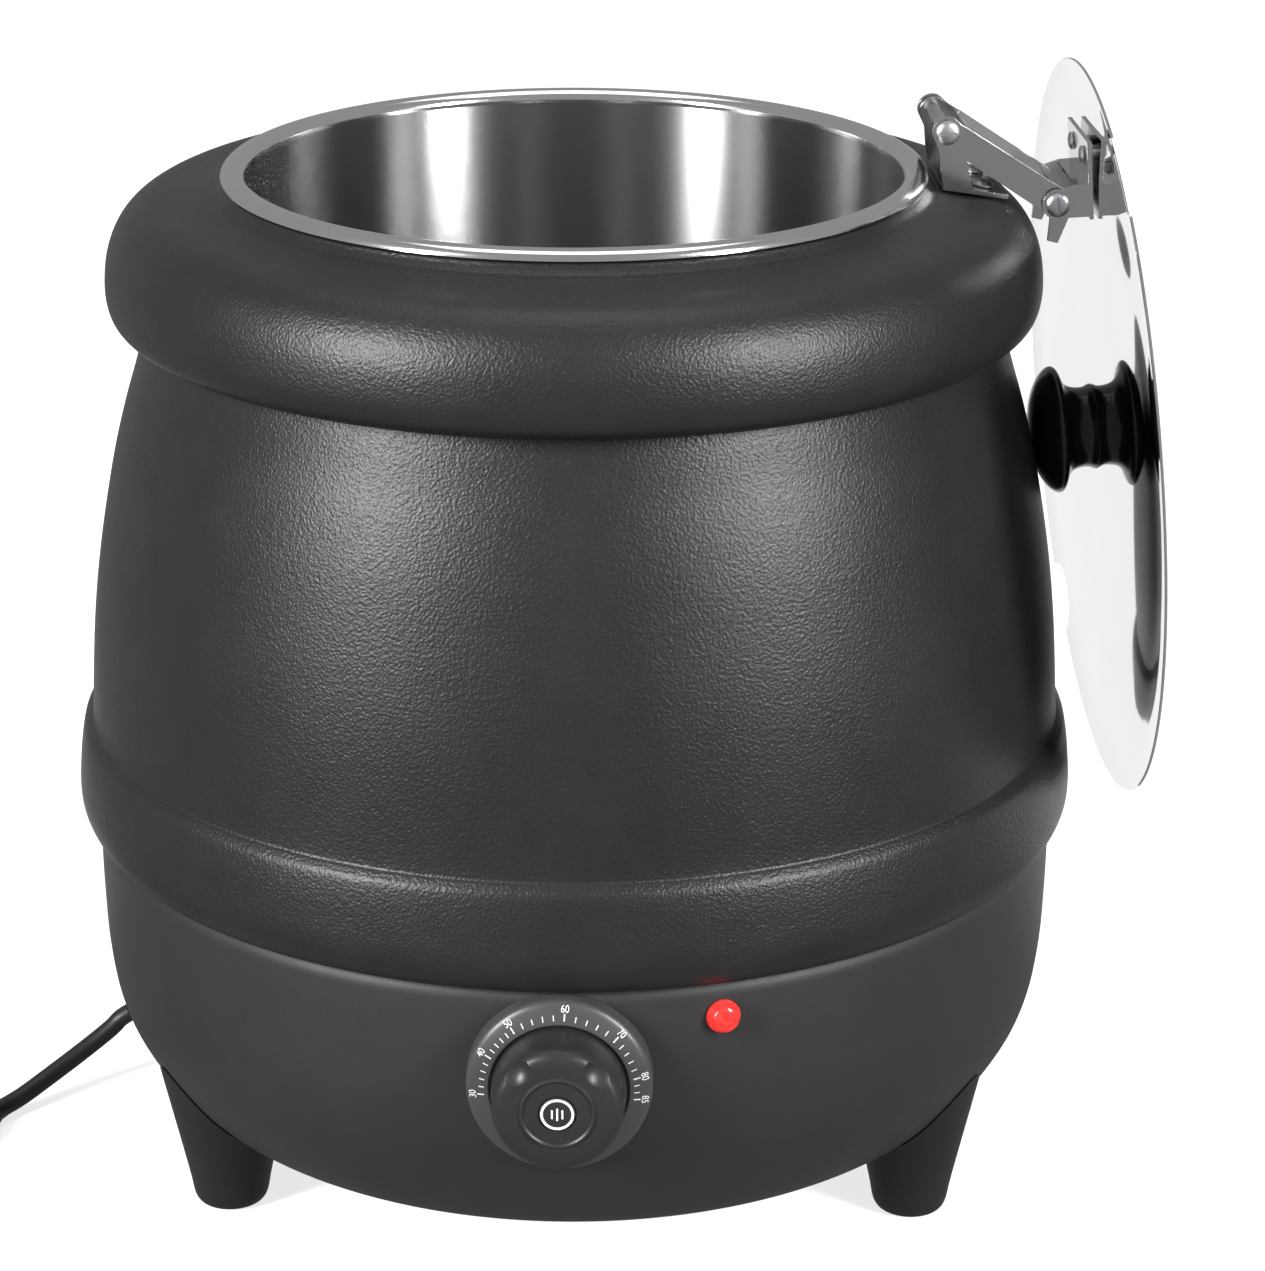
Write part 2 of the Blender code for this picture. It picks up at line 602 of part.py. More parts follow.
def hinge_base(frame, collar):
    """The bracket screwed to the collar, with an ear each side of the arm."""
    radius, height = PIN_A
    toe, heel = flange_point(-0.0108, 0.0008), flange_point(-0.0010, 0.0008)
    ear = ([(toe.x, toe.z), (heel.x, heel.z)] + arc((radius, height), 0.0050, -10, 190)
           + [(0.1180, height - 0.0060), (0.1186, toe.z + 0.0060)])
    bracket = add("hinge_base_bracket", pair("hinge_base_bracket", ear, EAR_OUT), "polished_steel", frame,
                  smooth=False)
    tilt = math.radians(FLANGE_SLOPE)
    plate = as_cutter(box("hinge_base_plate", (0.0220, 2 * EAR_OUT[1] - GAP, 0.0014), None, frame,
                          flange_point(0, 0.0010), turn=(0, tilt, 0)))
    boolean(bracket, plate, "UNION")
    pin_hole("hinge_base_pin_hole", bracket, frame, (radius, 0, height))
    across_hinge = (Vector((0, -0.0100, 0)), Vector((0, 0.0100, 0)))
    spots = [(flange_point(0.0035, 0.0020) + aside, (0, tilt, 0)) for aside in across_hinge]
    screws("hinge_base_screw", (0.0034, 0.0018, 0.0015, 0.0090), "polished_steel", frame, spots)
    holes = [(flange_point(0.0035, -0.0150) + aside, (0, tilt, 0)) for aside in across_hinge]
    hole_ring("hinge_base_screw_holes", (bracket, collar), 0.0018, 0.0250, frame, holes)


def hinge_arm(frame):
    """A short channel from pin A to pin B, built as it stands when open."""
    start = empty("hinge_arm_axis", frame, at=(PIN_A[0], 0, PIN_A[1]))
    run, drop = PIN_B[0] - PIN_A[0], PIN_B[1] - PIN_A[1]
    slope = math.degrees(math.atan2(drop, run))
    stop = [(0.0352, -0.0290), (0.0346, -0.0372), (0.0380, -0.0380), (0.0415, -0.0290)]
    cheek = (arc((0, 0), 0.0045, slope + 90, slope + 270)
             + stop[:1] + stop[1:] + arc((run, drop), 0.0050, -40, slope + 90))
    arm = add("hinge_arm", pair("hinge_arm", cheek, EAR_IN), "polished_steel", start, smooth=False)
    lean = Matrix.Rotation(-math.radians(slope), 4, "Y")
    web = box("hinge_arm_web", (0.0300, 2 * EAR_IN[1] - GAP, 0.0016), None, start,
              lean @ Vector((0.0225, 0, 0.0040)), turn=(0, -math.radians(slope), 0))
    boolean(arm, as_cutter(web), "UNION")
    pin_hole("arm_pin_a_hole", arm, start)
    pin_hole("arm_pin_b_hole", arm, start, (run, 0, drop))
    pin("hinge_pin_a", start)
    return start


def lid_parts(frame, arm_axis):
    """The lid in its own closed frame: +X to the hinge, +Z up, pin B at the origin."""
    run, drop = PIN_B[0] - PIN_A[0], PIN_B[1] - PIN_A[1]
    axis = empty("lid_axis", arm_axis, at=(run, 0, drop), turn=(0, -math.radians(LID_LEAN), 0))
    middle = Vector((-LID_REACH, 0, -LID_DROP))
    disc = turned("lid_disc", LID, "polished_steel", axis, wall=SHEET, segments=48, at=middle)
    notch = math.radians(180 - 42)
    spot = middle + Vector((math.cos(notch), math.sin(notch), 0)) * (LID_RADIUS + 0.004)
    hole("ladle_notch", disc, 0.0150, 0.0200, axis, spot - Vector((0, 0, 0.010)), segments=28)
    hole("lid_knob_hole", disc, 0.0024, 0.0200, axis, middle - Vector((0, 0, 0.010)), segments=16)
    knob = turned("lid_knob", LID_KNOB, "phenolic", axis, segments=24, at=middle + Vector((0, 0, 0.0024)))
    hole("lid_knob_bore", knob, 0.0023, 0.0140, axis, middle - Vector((0, 0, 0.0010)), segments=16)
    washer = cylinder("lid_knob_washer", 0.0070, 0.0010, "steel", axis, middle + Vector((0, 0, 0.0001)),
                      segments=20)
    hole("lid_washer_bore", washer, 0.0024, 0.0100, axis, middle - Vector((0, 0, 0.005)), segments=16)
    screws("lid_knob_screw", (0.0042, 0.0022, 0.0019, 0.0130), "polished_steel", axis,
           [(middle - Vector((0, 0, 0.0002)), (math.pi, 0, 0))])
    lid_bracket(axis, disc)
    pin("hinge_pin_b", axis)
    return axis


def lid_bracket(axis, disc):
    seat = -LID_DROP + 0.0024 + GAP
    ear = [(-0.0050, seat), (0.0060, seat), (0.0060, -0.0070)] + arc((0, 0), 0.0050, -20, 200)
    bracket = add("lid_bracket", pair("lid_bracket", ear, EAR_OUT), "polished_steel", axis, smooth=False)
    plate = box("lid_bracket_plate", (0.0260, 2 * EAR_OUT[1] - GAP, 0.0014), None, axis, (0.0070, 0, seat + 0.0007))
    web = box("lid_bracket_web", (0.0015, 2 * EAR_OUT[1] - GAP, 0.0055), None, axis, (0.00525, 0, seat + 0.00275))
    boolean(bracket, as_cutter(plate), "UNION")
    boolean(bracket, as_cutter(web), "UNION")
    pin_hole("lid_bracket_pin_hole", bracket, axis)
    spots = [((0.0140, side * 0.0100, seat + 0.0017), (0, 0, 0)) for side in (-1, 1)]
    screws("lid_bracket_rivet", (0.0030, 0.0012, 0.0015, 0.0050), "polished_steel", axis, spots)
    holes = [((0.0140, side * 0.0100, -0.0200), (0, 0, 0)) for side in (-1, 1)]
    hole_ring("lid_rivet_holes", (bracket, disc), 0.0018, 0.0150, axis, holes)


# ---------------------------------------------------------------- cord


def gland_direction():
    dip = math.radians(GLAND_DIP)
    flat = polar(GLAND_AZIMUTH, 1.0).normalized()
    return Vector((flat.x * math.cos(dip), flat.y * math.cos(dip), -math.sin(dip)))


def gland_point(distance):
    return polar(GLAND_AZIMUTH, GLAND_RADIUS, GLAND_Z) + gland_direction() * distance


def gland(bowl):
    """A strain relief through the bowl's wall, with a tapering boot outside."""
    turn = facing(gland_direction())
    hole("bowl_gland_hole", bowl, 0.0059, 0.0200, AXIS, gland_point(-0.0120), turn=turn, segments=20)
    rows = [(0.0, GLAND_TAIL), (0.0042, GLAND_TAIL), (0.0052, 0.0060), (0.0056, 0.0042), (0.0082, 0.0038),
            (0.0082, 0.0018), (0.0055, 0.0018), (0.0055, -0.0050), (0.0068, -0.0062), (0.0055, -0.0110),
            (0.0, -0.0110)]
    turned("strain_relief", rows, "cord_black", AXIS, segments=16, at=gland_point(0.0), turn=turn)


def coil_size():
    across, layers = COIL_BAND
    half = across * CORD_RADIUS + 0.0002
    return COIL_RADIUS - half, COIL_RADIUS + half, 2 * layers * CORD_RADIUS + 0.0004


def cord():
    """From the gland down to the floor, and on to the edge of its coil."""
    floor = CORD_RADIUS + 0.0001
    outer = coil_size()[1]
    middle = Vector((*COIL_CENTRE, floor))
    heading = Vector((-0.62, -0.78, 0)).normalized()
    inwards = Vector((heading.y, -heading.x, 0))
    run_in = outer - CORD_RADIUS
    touch = middle - inwards * run_in
    back = math.sqrt(outer ** 2 - (run_in - CORD_RADIUS) ** 2) + 2 * GAP
    end = touch - heading * back
    route = [gland_point(GLAND_TAIL + 0.0008), gland_point(GLAND_TAIL + 0.0060), (-0.1690, 0.0186, 0.0215),
             (-0.1776, 0.0140, 0.0156), (-0.1880, 0.0062, 0.0098), (-0.1982, -0.0045, 0.0055),
             (-0.2060, -0.0142, 0.0037), end - heading * 0.0120, end]
    tube("power_cord", route, CORD_RADIUS, "cord_black", AXIS, 0.0080, resolution=2)


def cord_coil():
    """The outer shape of the rest of the cord, wound flat on the floor."""
    inner, outer, top = coil_size()
    rows = [(outer - 0.0015, top), (outer, top - 0.0020), (outer, 0.0021), (outer - 0.0015, 0.0001),
            (inner + 0.0015, 0.0001), (inner, 0.0021), (inner, top - 0.0020), (inner + 0.0015, top),
            (outer - 0.0015, top)]
    turned("cord_coil", rows, "cord_black", AXIS, segments=32, at=(*COIL_CENTRE, 0))


def plug():
    """A round two-pin plug on its side, its tail over the coil's last turn."""
    length, radius = 0.0380, 0.0185
    along = (-math.pi / 2, 0, 0)
    aside = coil_size()[1] - CORD_RADIUS
    at = Vector((COIL_CENTRE[0] - aside, COIL_CENTRE[1] + 0.0330, radius + 0.0001))
    rows = [(0.0, length), (radius - 0.0015, length), (radius, length - 0.0015), (radius, 0.0180),
            (0.0150, 0.0080), (0.0070, 0.0), (0.0048, -0.0150), (0.0, -0.0150)]
    body = turned("plug_body", rows, "cord_black", AXIS, segments=20, at=at, turn=along)
    bores = []
    for number, side in enumerate((-1, 1), start=1):
        spot = at + Vector((side * 0.0095, length - 0.0060, 0))
        cylinder(f"plug_pin_{number}", 0.0024, 0.0250, "brass", AXIS, spot, turn=along, segments=12)
        bores.append((spot - Vector((0, 0.001, 0)), along))
    hole_ring("plug_pin_bores", (body,), 0.0027, 0.0250, AXIS, bores)


# ---------------------------------------------------------------- assembly


def main():
    collar, barrel, bowl = casing()
    disc = base_plate()
    base_screws(bowl, disc)
    feet(bowl)
    heating()
    thermostat(bowl)
    wiring()
    lamp(bowl)
    gland(bowl)
    dial()
    knob_axis = empty("thermostat_knob_axis", AXIS, at=(0, -DIAL_WALL - 0.0062, DIAL_Z),
                      turn=(math.pi / 2, 0, 0))
    thermostat_knob(knob_axis)
    turned("food_pot", POT, "steel", AXIS, wall=0.0008, side=1)
    frame = empty("hinge_frame", AXIS, turn=(0, 0, math.radians(HINGE_AZIMUTH)))
    hinge_base(frame, collar)
    arm_axis = hinge_arm(frame)
    lid_parts(frame, arm_axis)
    cord()
    cord_coil()
    plug()


main()
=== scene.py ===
import math

import bmesh
import bpy
from mathutils import Matrix, Vector


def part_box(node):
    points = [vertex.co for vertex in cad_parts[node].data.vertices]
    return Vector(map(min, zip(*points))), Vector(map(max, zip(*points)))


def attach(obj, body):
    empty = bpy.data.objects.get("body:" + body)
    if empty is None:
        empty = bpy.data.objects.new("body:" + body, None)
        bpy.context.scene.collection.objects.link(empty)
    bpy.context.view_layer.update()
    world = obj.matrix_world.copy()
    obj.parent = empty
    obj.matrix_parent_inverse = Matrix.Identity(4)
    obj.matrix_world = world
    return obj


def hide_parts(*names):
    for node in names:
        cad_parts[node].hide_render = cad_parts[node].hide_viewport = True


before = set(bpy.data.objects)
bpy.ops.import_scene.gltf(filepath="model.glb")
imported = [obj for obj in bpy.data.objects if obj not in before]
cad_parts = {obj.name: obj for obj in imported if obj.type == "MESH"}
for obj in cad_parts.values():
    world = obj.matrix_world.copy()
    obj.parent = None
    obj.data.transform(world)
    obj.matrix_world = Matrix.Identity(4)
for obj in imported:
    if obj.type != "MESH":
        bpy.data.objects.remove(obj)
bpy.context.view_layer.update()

# ---------------------------------------------------------------- places, from the CAD

barrel_low, barrel_high = (Vector(c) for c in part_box("barrel_shell"))
AX, AY = (barrel_low.x + barrel_high.x) / 2, (barrel_low.y + barrel_high.y) / 2
KETTLE = Matrix.Translation((AX, AY, 0))
BOWL_WALL = 0.1637
DIAL_HEIGHT = 0.0947
HINGE = KETTLE @ Matrix.Rotation(math.radians(5.0), 4, "Z")
PIN_A = (0.1205, 0.3598)
PIN_B = (0.1576, 0.3353)
FLANGE_SLOPE = math.radians(9.0)
FLANGE_TILT = Matrix.Rotation(FLANGE_SLOPE, 4, "Y")
LID = HINGE @ Matrix.Translation((PIN_B[0], 0, PIN_B[1])) @ Matrix.Rotation(-math.radians(94.4), 4, "Y")
LID_DROP = -0.0145
LID_MIDDLE = Vector((-0.083, 0, LID_DROP))
LID_CROWN = 0.0024
LID_SEAT = LID_DROP + LID_CROWN + 0.0003
LID_RIM = 0.1243
SCREWS_ASIDE = (-0.0100, 0.0100)
FOOT_CIRCLE = 0.134
FEET = {"left": -60, "right": 60, "rear": 180}
UPRIGHT = Matrix.Rotation(math.pi / 2, 4, "X")
DIAL = KETTLE @ Matrix.Translation((0, -BOWL_WALL - 0.0003, DIAL_HEIGHT)) @ UPRIGHT
KNOB = KETTLE @ Matrix.Translation((0, -BOWL_WALL - 0.0062, DIAL_HEIGHT)) @ UPRIGHT

# ---------------------------------------------------------------- camera, light and floor


def camera():
    """The camera, placed from the kettle's axis and looking down at it."""
    data = bpy.data.cameras.new("camera")
    made = bpy.data.objects.new("camera", data)
    bpy.context.scene.collection.objects.link(made)
    data.sensor_fit = "HORIZONTAL"
    data.sensor_width = 36.0
    data.lens = 112.4879
    data.clip_end = 50
    place = Vector((AX + 0.0388, AY - 1.2713, 0.6511))
    look = Vector((-0.01412, 0.93801, -0.34631)).normalized()
    turn = look.to_track_quat("-Z", "Y").to_matrix().to_4x4()
    roll = Matrix.Rotation(math.radians(0.22), 4, "Z")
    made.matrix_world = Matrix.Translation(place) @ turn @ roll
    bpy.context.scene.camera = made


def area(name, at, towards, size, power):
    data = bpy.data.lights.new(name, "AREA")
    data.shape = "RECTANGLE"
    data.size, data.size_y = size
    data.energy = power
    made = bpy.data.objects.new(name, data)
    bpy.context.scene.collection.objects.link(made)
    aim = (Vector(towards) - Vector(at)).to_track_quat("-Z", "Y").to_matrix().to_4x4()
    made.matrix_world = Matrix.Translation(at) @ aim


def studio():
    scene = bpy.context.scene
    scene.view_settings.view_transform = "Standard"
    scene.view_settings.look = "None"
    world = bpy.data.worlds.new("studio")
    world.use_nodes = True
    scene.world = world
    world.node_tree.nodes["Background"].inputs["Color"].default_value = (1, 1, 1, 1)
    world.node_tree.nodes["Background"].inputs["Strength"].default_value = 0.30
    middle = (0, 0, 0.22)
    area("softbox_left", (-1.75, -1.55, 1.15), middle, (0.42, 1.3), 98)
    area("softbox_right", (1.75, -1.45, 1.15), middle, (0.50, 1.3), 80)
    area("softbox_top", (0, 0.3, 2.4), middle, (1.6, 1.2), 10)


def stage_sheet(name, look_name, matrix, shade, glow):
    """A flat square sheet, two metres a side before the matrix, that shines a little itself."""
    form = bmesh.new()
    bmesh.ops.create_grid(form, x_segments=1, y_segments=1, size=1.0)
    mesh = mesh_of(form, name)
    mesh.transform(matrix)
    look = new_material(look_name)
    shader = look.node_tree.nodes["Principled BSDF"]
    shader.inputs["Base Color"].default_value = (shade, shade, shade, 1)
    shader.inputs["Emission Color"].default_value = (1, 1, 1, 1)
    shader.inputs["Emission Strength"].default_value = glow
    mesh.materials.append(look)
    made = bpy.data.objects.new(name, mesh)
    bpy.context.scene.collection.objects.link(made)
    made.visible_diffuse = False
    return made, shader


def floor():
    """A wide white floor that doesn't light the kettle."""
    place = Matrix.Translation((0, 0, -0.0002)) @ Matrix.Diagonal((30.0, 30.0, 1.0, 1.0))
    made, shader = stage_sheet("floor", "floor_white", place, 0.60, 0.74)
    shader.inputs["Roughness"].default_value = 0.9
    shader.inputs["Specular IOR Level"].default_value = 0.0
    made.visible_glossy = False


def white_card():
    """A white sheet behind the kettle, seen only as its reflection in the lid and other shiny parts."""
    place = Matrix.Translation((0.75, 1.75, -0.001)) @ Matrix.Diagonal((1.1, 1.6, 1.0, 1.0))
    made, _ = stage_sheet("white_card", "card_white", place, 0.05, 0.92)
    made.visible_camera = False
    made.visible_shadow = False


# ---------------------------------------------------------------- material tools


def new_material(name):
    made = bpy.data.materials.new(name)
    made.use_nodes = True
    return made


class Look:
    """A procedural material, built up one node at a time."""

    def __init__(self, name, roughness=0.5, metallic=0.0, specular=0.5):
        self.material = new_material(name)
        self.tree = self.material.node_tree
        self.shader = self.tree.nodes["Principled BSDF"]
        self.shader.inputs["Roughness"].default_value = roughness
        self.shader.inputs["Metallic"].default_value = metallic
        self.shader.inputs["Specular IOR Level"].default_value = specular
        self.place = self.node("ShaderNodeTexCoord").outputs["Object"]

    def node(self, kind, **values):
        """A new node; each value is for the input of that name."""
        made = self.tree.nodes.new(kind)
        for key, value in values.items():
            made.inputs[key.replace("_", " ").title()].default_value = value
        return made

    def stretched(self, scale):
        made = self.node("ShaderNodeMapping", scale=scale)
        self.tree.links.new(self.place, made.inputs["Vector"])
        return made.outputs["Vector"]

    def noise(self, scale, detail=3.0, roughness=0.5, vector=None):
        made = self.node("ShaderNodeTexNoise", scale=scale, detail=detail, roughness=roughness)
        self.tree.links.new(vector or self.place, made.inputs["Vector"])
        return made.outputs["Fac"]

    def cells(self, scale):
        made = self.node("ShaderNodeTexVoronoi")
        made.feature = "SMOOTH_F1"
        made.inputs["Scale"].default_value = scale
        self.tree.links.new(self.place, made.inputs["Vector"])
        return made.outputs["Distance"]

    def ramp(self, factor, stops):
        made = self.node("ShaderNodeValToRGB")
        while len(made.color_ramp.elements) < len(stops):
            made.color_ramp.elements.new(0.5)
        for element, (at, colour) in zip(made.color_ramp.elements, stops):
            element.position = at
            element.color = (*colour, 1)
        self.tree.links.new(factor, made.inputs["Fac"])
        return made.outputs["Color"]

    def remap(self, factor, low, high):
        made = self.node("ShaderNodeMapRange", to_min=low, to_max=high)
        self.tree.links.new(factor, made.inputs["Value"])
        return made.outputs["Result"]

    def math(self, operation, first, second):
        made = self.node("ShaderNodeMath")
        made.operation = operation
        for socket, value in zip(made.inputs, (first, second)):
            if isinstance(value, (int, float)):
                socket.default_value = value
            else:
                self.tree.links.new(value, socket)
        return made.outputs["Value"]

    def bump(self, height, strength, distance):
        made = self.node("ShaderNodeBump", strength=strength, distance=distance)
        self.tree.links.new(height, made.inputs["Height"])
        self.link(made.outputs["Normal"], "Normal")

    def link(self, output, name):
        self.tree.links.new(output, self.shader.inputs[name])

    def tint(self, factor, low, dark, high, light):
        self.link(self.ramp(factor, [(low, dark), (high, light)]), "Base Color")


def grained_paint(name, dark, light):
    """Charcoal paint with a fine leather grain."""
    look = Look(name, roughness=0.42, specular=0.42)
    grain = look.cells(1050)
    fine = look.noise(1250, 3.0)
    height = look.math("ADD", look.math("MULTIPLY", grain, 0.8), fine)
    look.bump(height, 0.6, 0.00027)
    look.tint(look.noise(42, 4.0, 0.6), 0.30, dark, 0.75, light)
    look.link(look.remap(look.noise(90, 3.0), 0.34, 0.41), "Roughness")
    return look.material


def smooth_plastic(name, dark, light, roughness, grain):
    """Moulded plastic with a faint sheen and a very fine surface."""
    look = Look(name, roughness=roughness, specular=0.45)
    look.tint(look.noise(30, 4.0, 0.6), 0.3, dark, 0.75, light)
    look.link(look.remap(look.noise(160, 2.0), roughness - 0.04, roughness + 0.05), "Roughness")
    look.bump(look.noise(2600, 2.0), grain, 0.0003)
    return look.material


def polished_steel(name, roughness, tint, streak=0.012):
    """Mirror-polished stainless steel with faint handling marks."""
    look = Look(name, roughness=roughness, metallic=1.0)
    look.tint(look.noise(18, 3.0), 0.3, tuple(t * 0.95 for t in tint), 0.7, tint)
    look.link(look.remap(look.noise(55, 5.0, 0.7), roughness * 0.7, roughness * 1.5), "Roughness")
    look.bump(look.noise(900, 2.0, vector=look.stretched((1, 1, 0.05))), streak, 0.0002)
    return look.material


def brushed_steel(name, roughness, tint):
    """Stainless steel with fine marks that run round the axis, so that lights draw upright streaks."""
    look = Look(name, roughness=roughness, metallic=1.0)
    lines = look.noise(2400, 3.0, 0.6, look.stretched((0.04, 0.04, 1.0)))
    broad = look.noise(14, 3.0)
    look.tint(lines, 0.25, tuple(t * 0.86 for t in tint), 0.8, tint)
    look.link(look.remap(broad, roughness - 0.006, roughness + 0.008), "Roughness")
    look.bump(lines, 0.10, 0.0002)
    way = look.node("ShaderNodeTangent")
    way.direction_type = "RADIAL"
    way.axis = "Z"
    look.link(way.outputs["Tangent"], "Tangent")
    look.shader.inputs["Anisotropic"].default_value = 0.95
    look.shader.inputs["Anisotropic Rotation"].default_value = 0.25
    return look.material


def plain_metal(name, tint, roughness):
    look = Look(name, roughness=roughness, metallic=1.0)
    look.tint(look.noise(70, 4.0), 0.3, tuple(t * 0.8 for t in tint), 0.7, tint)
    look.link(look.remap(look.noise(240, 3.0), roughness - 0.06, roughness + 0.08), "Roughness")
    return look.material


def insulation(name, dark, light):
    look = Look(name, roughness=0.5)
    look.tint(look.noise(120, 3.0), 0.3, dark, 0.7, light)
    look.bump(look.noise(1800, 2.0), 0.1, 0.0002)
    return look.material


def make_looks():
    looks = {
        "casing": grained_paint("casing_paint", (0.010, 0.010, 0.0105), (0.014, 0.014, 0.0145)),
        "bowl": smooth_plastic("bowl_plastic", (0.017, 0.017, 0.0175), (0.020, 0.020, 0.0205), 0.52, 0.16),
        "foot": smooth_plastic("foot_rubber", (0.008, 0.008, 0.0085), (0.011, 0.011, 0.0115), 0.50, 0.14),
        "pot": brushed_steel("pot_steel", 0.27, (0.40, 0.40, 0.40)),
        "rim": polished_steel("pot_rim_polish", 0.12, (0.84, 0.84, 0.83)),
        "tub": brushed_steel("tub_steel", 0.32, (0.50, 0.50, 0.50)),
        "mirror": polished_steel("lid_mirror", 0.035, (0.86, 0.86, 0.86), 0.004),
        "hinge": polished_steel("hinge_steel", 0.14, (0.62, 0.62, 0.61)),
        "zinc": plain_metal("zinc_plate", (0.50, 0.51, 0.53), 0.38),
        "copper": plain_metal("copper_sheath", (0.62, 0.32, 0.20), 0.36),
        "brass": plain_metal("plug_brass", (0.66, 0.50, 0.22), 0.28),
        "phenolic": smooth_plastic("phenolic_black", (0.009, 0.009, 0.010), (0.013, 0.013, 0.014),
                                   0.17, 0.03),
        "knob": smooth_plastic("knob_black", (0.016, 0.016, 0.017), (0.022, 0.022, 0.023), 0.36, 0.08),
        "dial": smooth_plastic("dial_satin", (0.046, 0.046, 0.048), (0.056, 0.056, 0.058), 0.34, 0.06),
        "print": smooth_plastic("dial_print", (0.70, 0.70, 0.70), (0.80, 0.80, 0.80), 0.50, 0.02),
        "ceramic": smooth_plastic("ceramic_white", (0.66, 0.64, 0.58), (0.74, 0.72, 0.66), 0.5, 0.1),
        "cord": smooth_plastic("cord_rubber", (0.010, 0.010, 0.011), (0.015, 0.015, 0.016), 0.42, 0.12),
        "silicone": smooth_plastic("seal_silicone", (0.22, 0.23, 0.24), (0.28, 0.29, 0.30), 0.55, 0.08),
        "brown": insulation("wire_brown", (0.14, 0.06, 0.03), (0.19, 0.08, 0.04)),
        "blue": insulation("wire_blue", (0.03, 0.09, 0.35), (0.05, 0.13, 0.45)),
        "green": insulation("wire_green", (0.20, 0.34, 0.04), (0.30, 0.44, 0.07)),
    }
    lens = Look("lamp_red", roughness=0.12)
    lens.tint(lens.cells(700), 0.1, (0.62, 0.015, 0.015), 0.9, (0.85, 0.05, 0.04))
    lens.shader.inputs["Emission Color"].default_value = (1.0, 0.03, 0.02, 1)
    lens.shader.inputs["Emission Strength"].default_value = 0.22
    looks["lens"] = lens.material
    return looks


# ---------------------------------------------------------------- shape tools


def catmull(a, b, c, d, t):
    return 0.5 * (2 * b + (c - a) * t + (2 * a - 5 * b + 4 * c - d) * t * t
                  + (3 * b - a - 3 * c + d) * t * t * t)


def smooth_line(points, steps, corners=()):
    """A fine line through the points; corners are the indexes that stay sharp."""
    spots = [Vector(p) for p in points]
    cuts = [0, *corners, len(spots) - 1]
    fine = []
    for first, last in zip(cuts, cuts[1:]):
        run = spots[first:last + 1]
        if len(run) < 3:
            fine += run[:-1]
            continue
        run = [2 * run[0] - run[1]] + run + [2 * run[-1] - run[-2]]
        for a, b, c, d in zip(run, run[1:], run[2:], run[3:]):
            fine += [catmull(a, b, c, d, i / steps) for i in range(steps)]
    return fine + [spots[-1]]


def mesh_of(form, name):
    mesh = bpy.data.meshes.new(name)
    form.to_mesh(mesh)
    form.free()
    return mesh


def piece(name, mesh, look, matrix, body, replaces=(), sharp=40.0):
    """A new piece of the visual model: placed, shaded and ridden."""
    mesh.transform(matrix)
    mesh.shade_smooth()
    mesh.set_sharp_from_angle(angle=math.radians(sharp))
    mesh.materials.clear()
    mesh.materials.append(look)
    made = bpy.data.objects.new(name, mesh)
    bpy.context.scene.collection.objects.link(made)
    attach(made, body)
    if replaces:
        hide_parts(*replaces)
    return made


def lathe_mesh(name, profile, segments):
    """A profile of (radius, height) pairs turned round Z."""
    form = bmesh.new()
    rings = []
    for radius, height in profile:
        if radius < 1e-6:
            rings.append([form.verts.new((0, 0, height))])
            continue
        rings.append([form.verts.new((radius * math.cos(math.tau * i / segments),
                                      radius * math.sin(math.tau * i / segments), height))
                      for i in range(segments)])
    for upper, lower in zip(rings, rings[1:]):
        for i in range(segments):
            j = (i + 1) % segments
            corners = [upper[i % len(upper)], lower[i % len(lower)],
                       lower[j % len(lower)], upper[j % len(upper)]]
            unique = list(dict.fromkeys(corners))
            if len(unique) > 2:
                form.faces.new(unique)
    bmesh.ops.recalc_face_normals(form, faces=form.faces)
    return mesh_of(form, name)


def offset_profile(points, wall):
    """The points moved sideways by wall: to the left of the way they run if it's positive."""
    spots = [Vector((p[0], p[1])) for p in points]
    moved = []
    for i, spot in enumerate(spots):
        before, after = spots[max(i - 1, 0)], spots[min(i + 1, len(spots) - 1)]
        way = (after - before).normalized()
        moved.append(Vector((max(0.0, spot.x - way.y * wall), spot.y + way.x * wall)))
    return moved


def shell(profile, wall):
    """A closed profile of a sheet of that thickness."""
    back = offset_profile(profile, wall)
    if profile[-1][0] < 1e-6:
        return list(profile) + back[::-1]
    return list(profile) + back[::-1] + [profile[0]]


def merged(mesh):
    """The mesh with the vertices of its seams joined."""
    form = bmesh.new()
    form.from_mesh(mesh)
    bmesh.ops.remove_doubles(form, verts=form.verts, dist=0.000002)
    bmesh.ops.recalc_face_normals(form, faces=form.faces)
    form.to_mesh(mesh)
    form.free()
    return mesh


def cut(mesh, tools, operation="DIFFERENCE"):
    """The mesh with each tool mesh taken from it, or joined to it."""
    carrier = bpy.data.objects.new("carrier", mesh)
    bpy.context.scene.collection.objects.link(carrier)
    helpers = []
    for tool in tools:
        helper = bpy.data.objects.new("tool", tool)
        bpy.context.scene.collection.objects.link(helper)
        step = carrier.modifiers.new("cut", "BOOLEAN")
        step.operation = operation
        step.solver = "EXACT"
        step.object = helper
        helpers.append(helper)
    bpy.context.view_layer.update()
    result = baked(carrier)
    for made in [carrier, *helpers]:
        bpy.data.objects.remove(made, do_unlink=True)
    return result


def baked(made):
    """A mesh of the object as its modifiers leave it."""
    return bpy.data.meshes.new_from_object(made.evaluated_get(bpy.context.evaluated_depsgraph_get()))


def cylinder_mesh(radius, low, high, segments, matrix=None):
    form = bmesh.new()
    bmesh.ops.create_cone(form, cap_ends=True, segments=segments, radius1=radius, radius2=radius,
                          depth=high - low)
    bmesh.ops.translate(form, verts=form.verts, vec=(0, 0, (high + low) / 2))
    mesh = mesh_of(form, "cylinder")
    if matrix:
        mesh.transform(matrix)
    return mesh


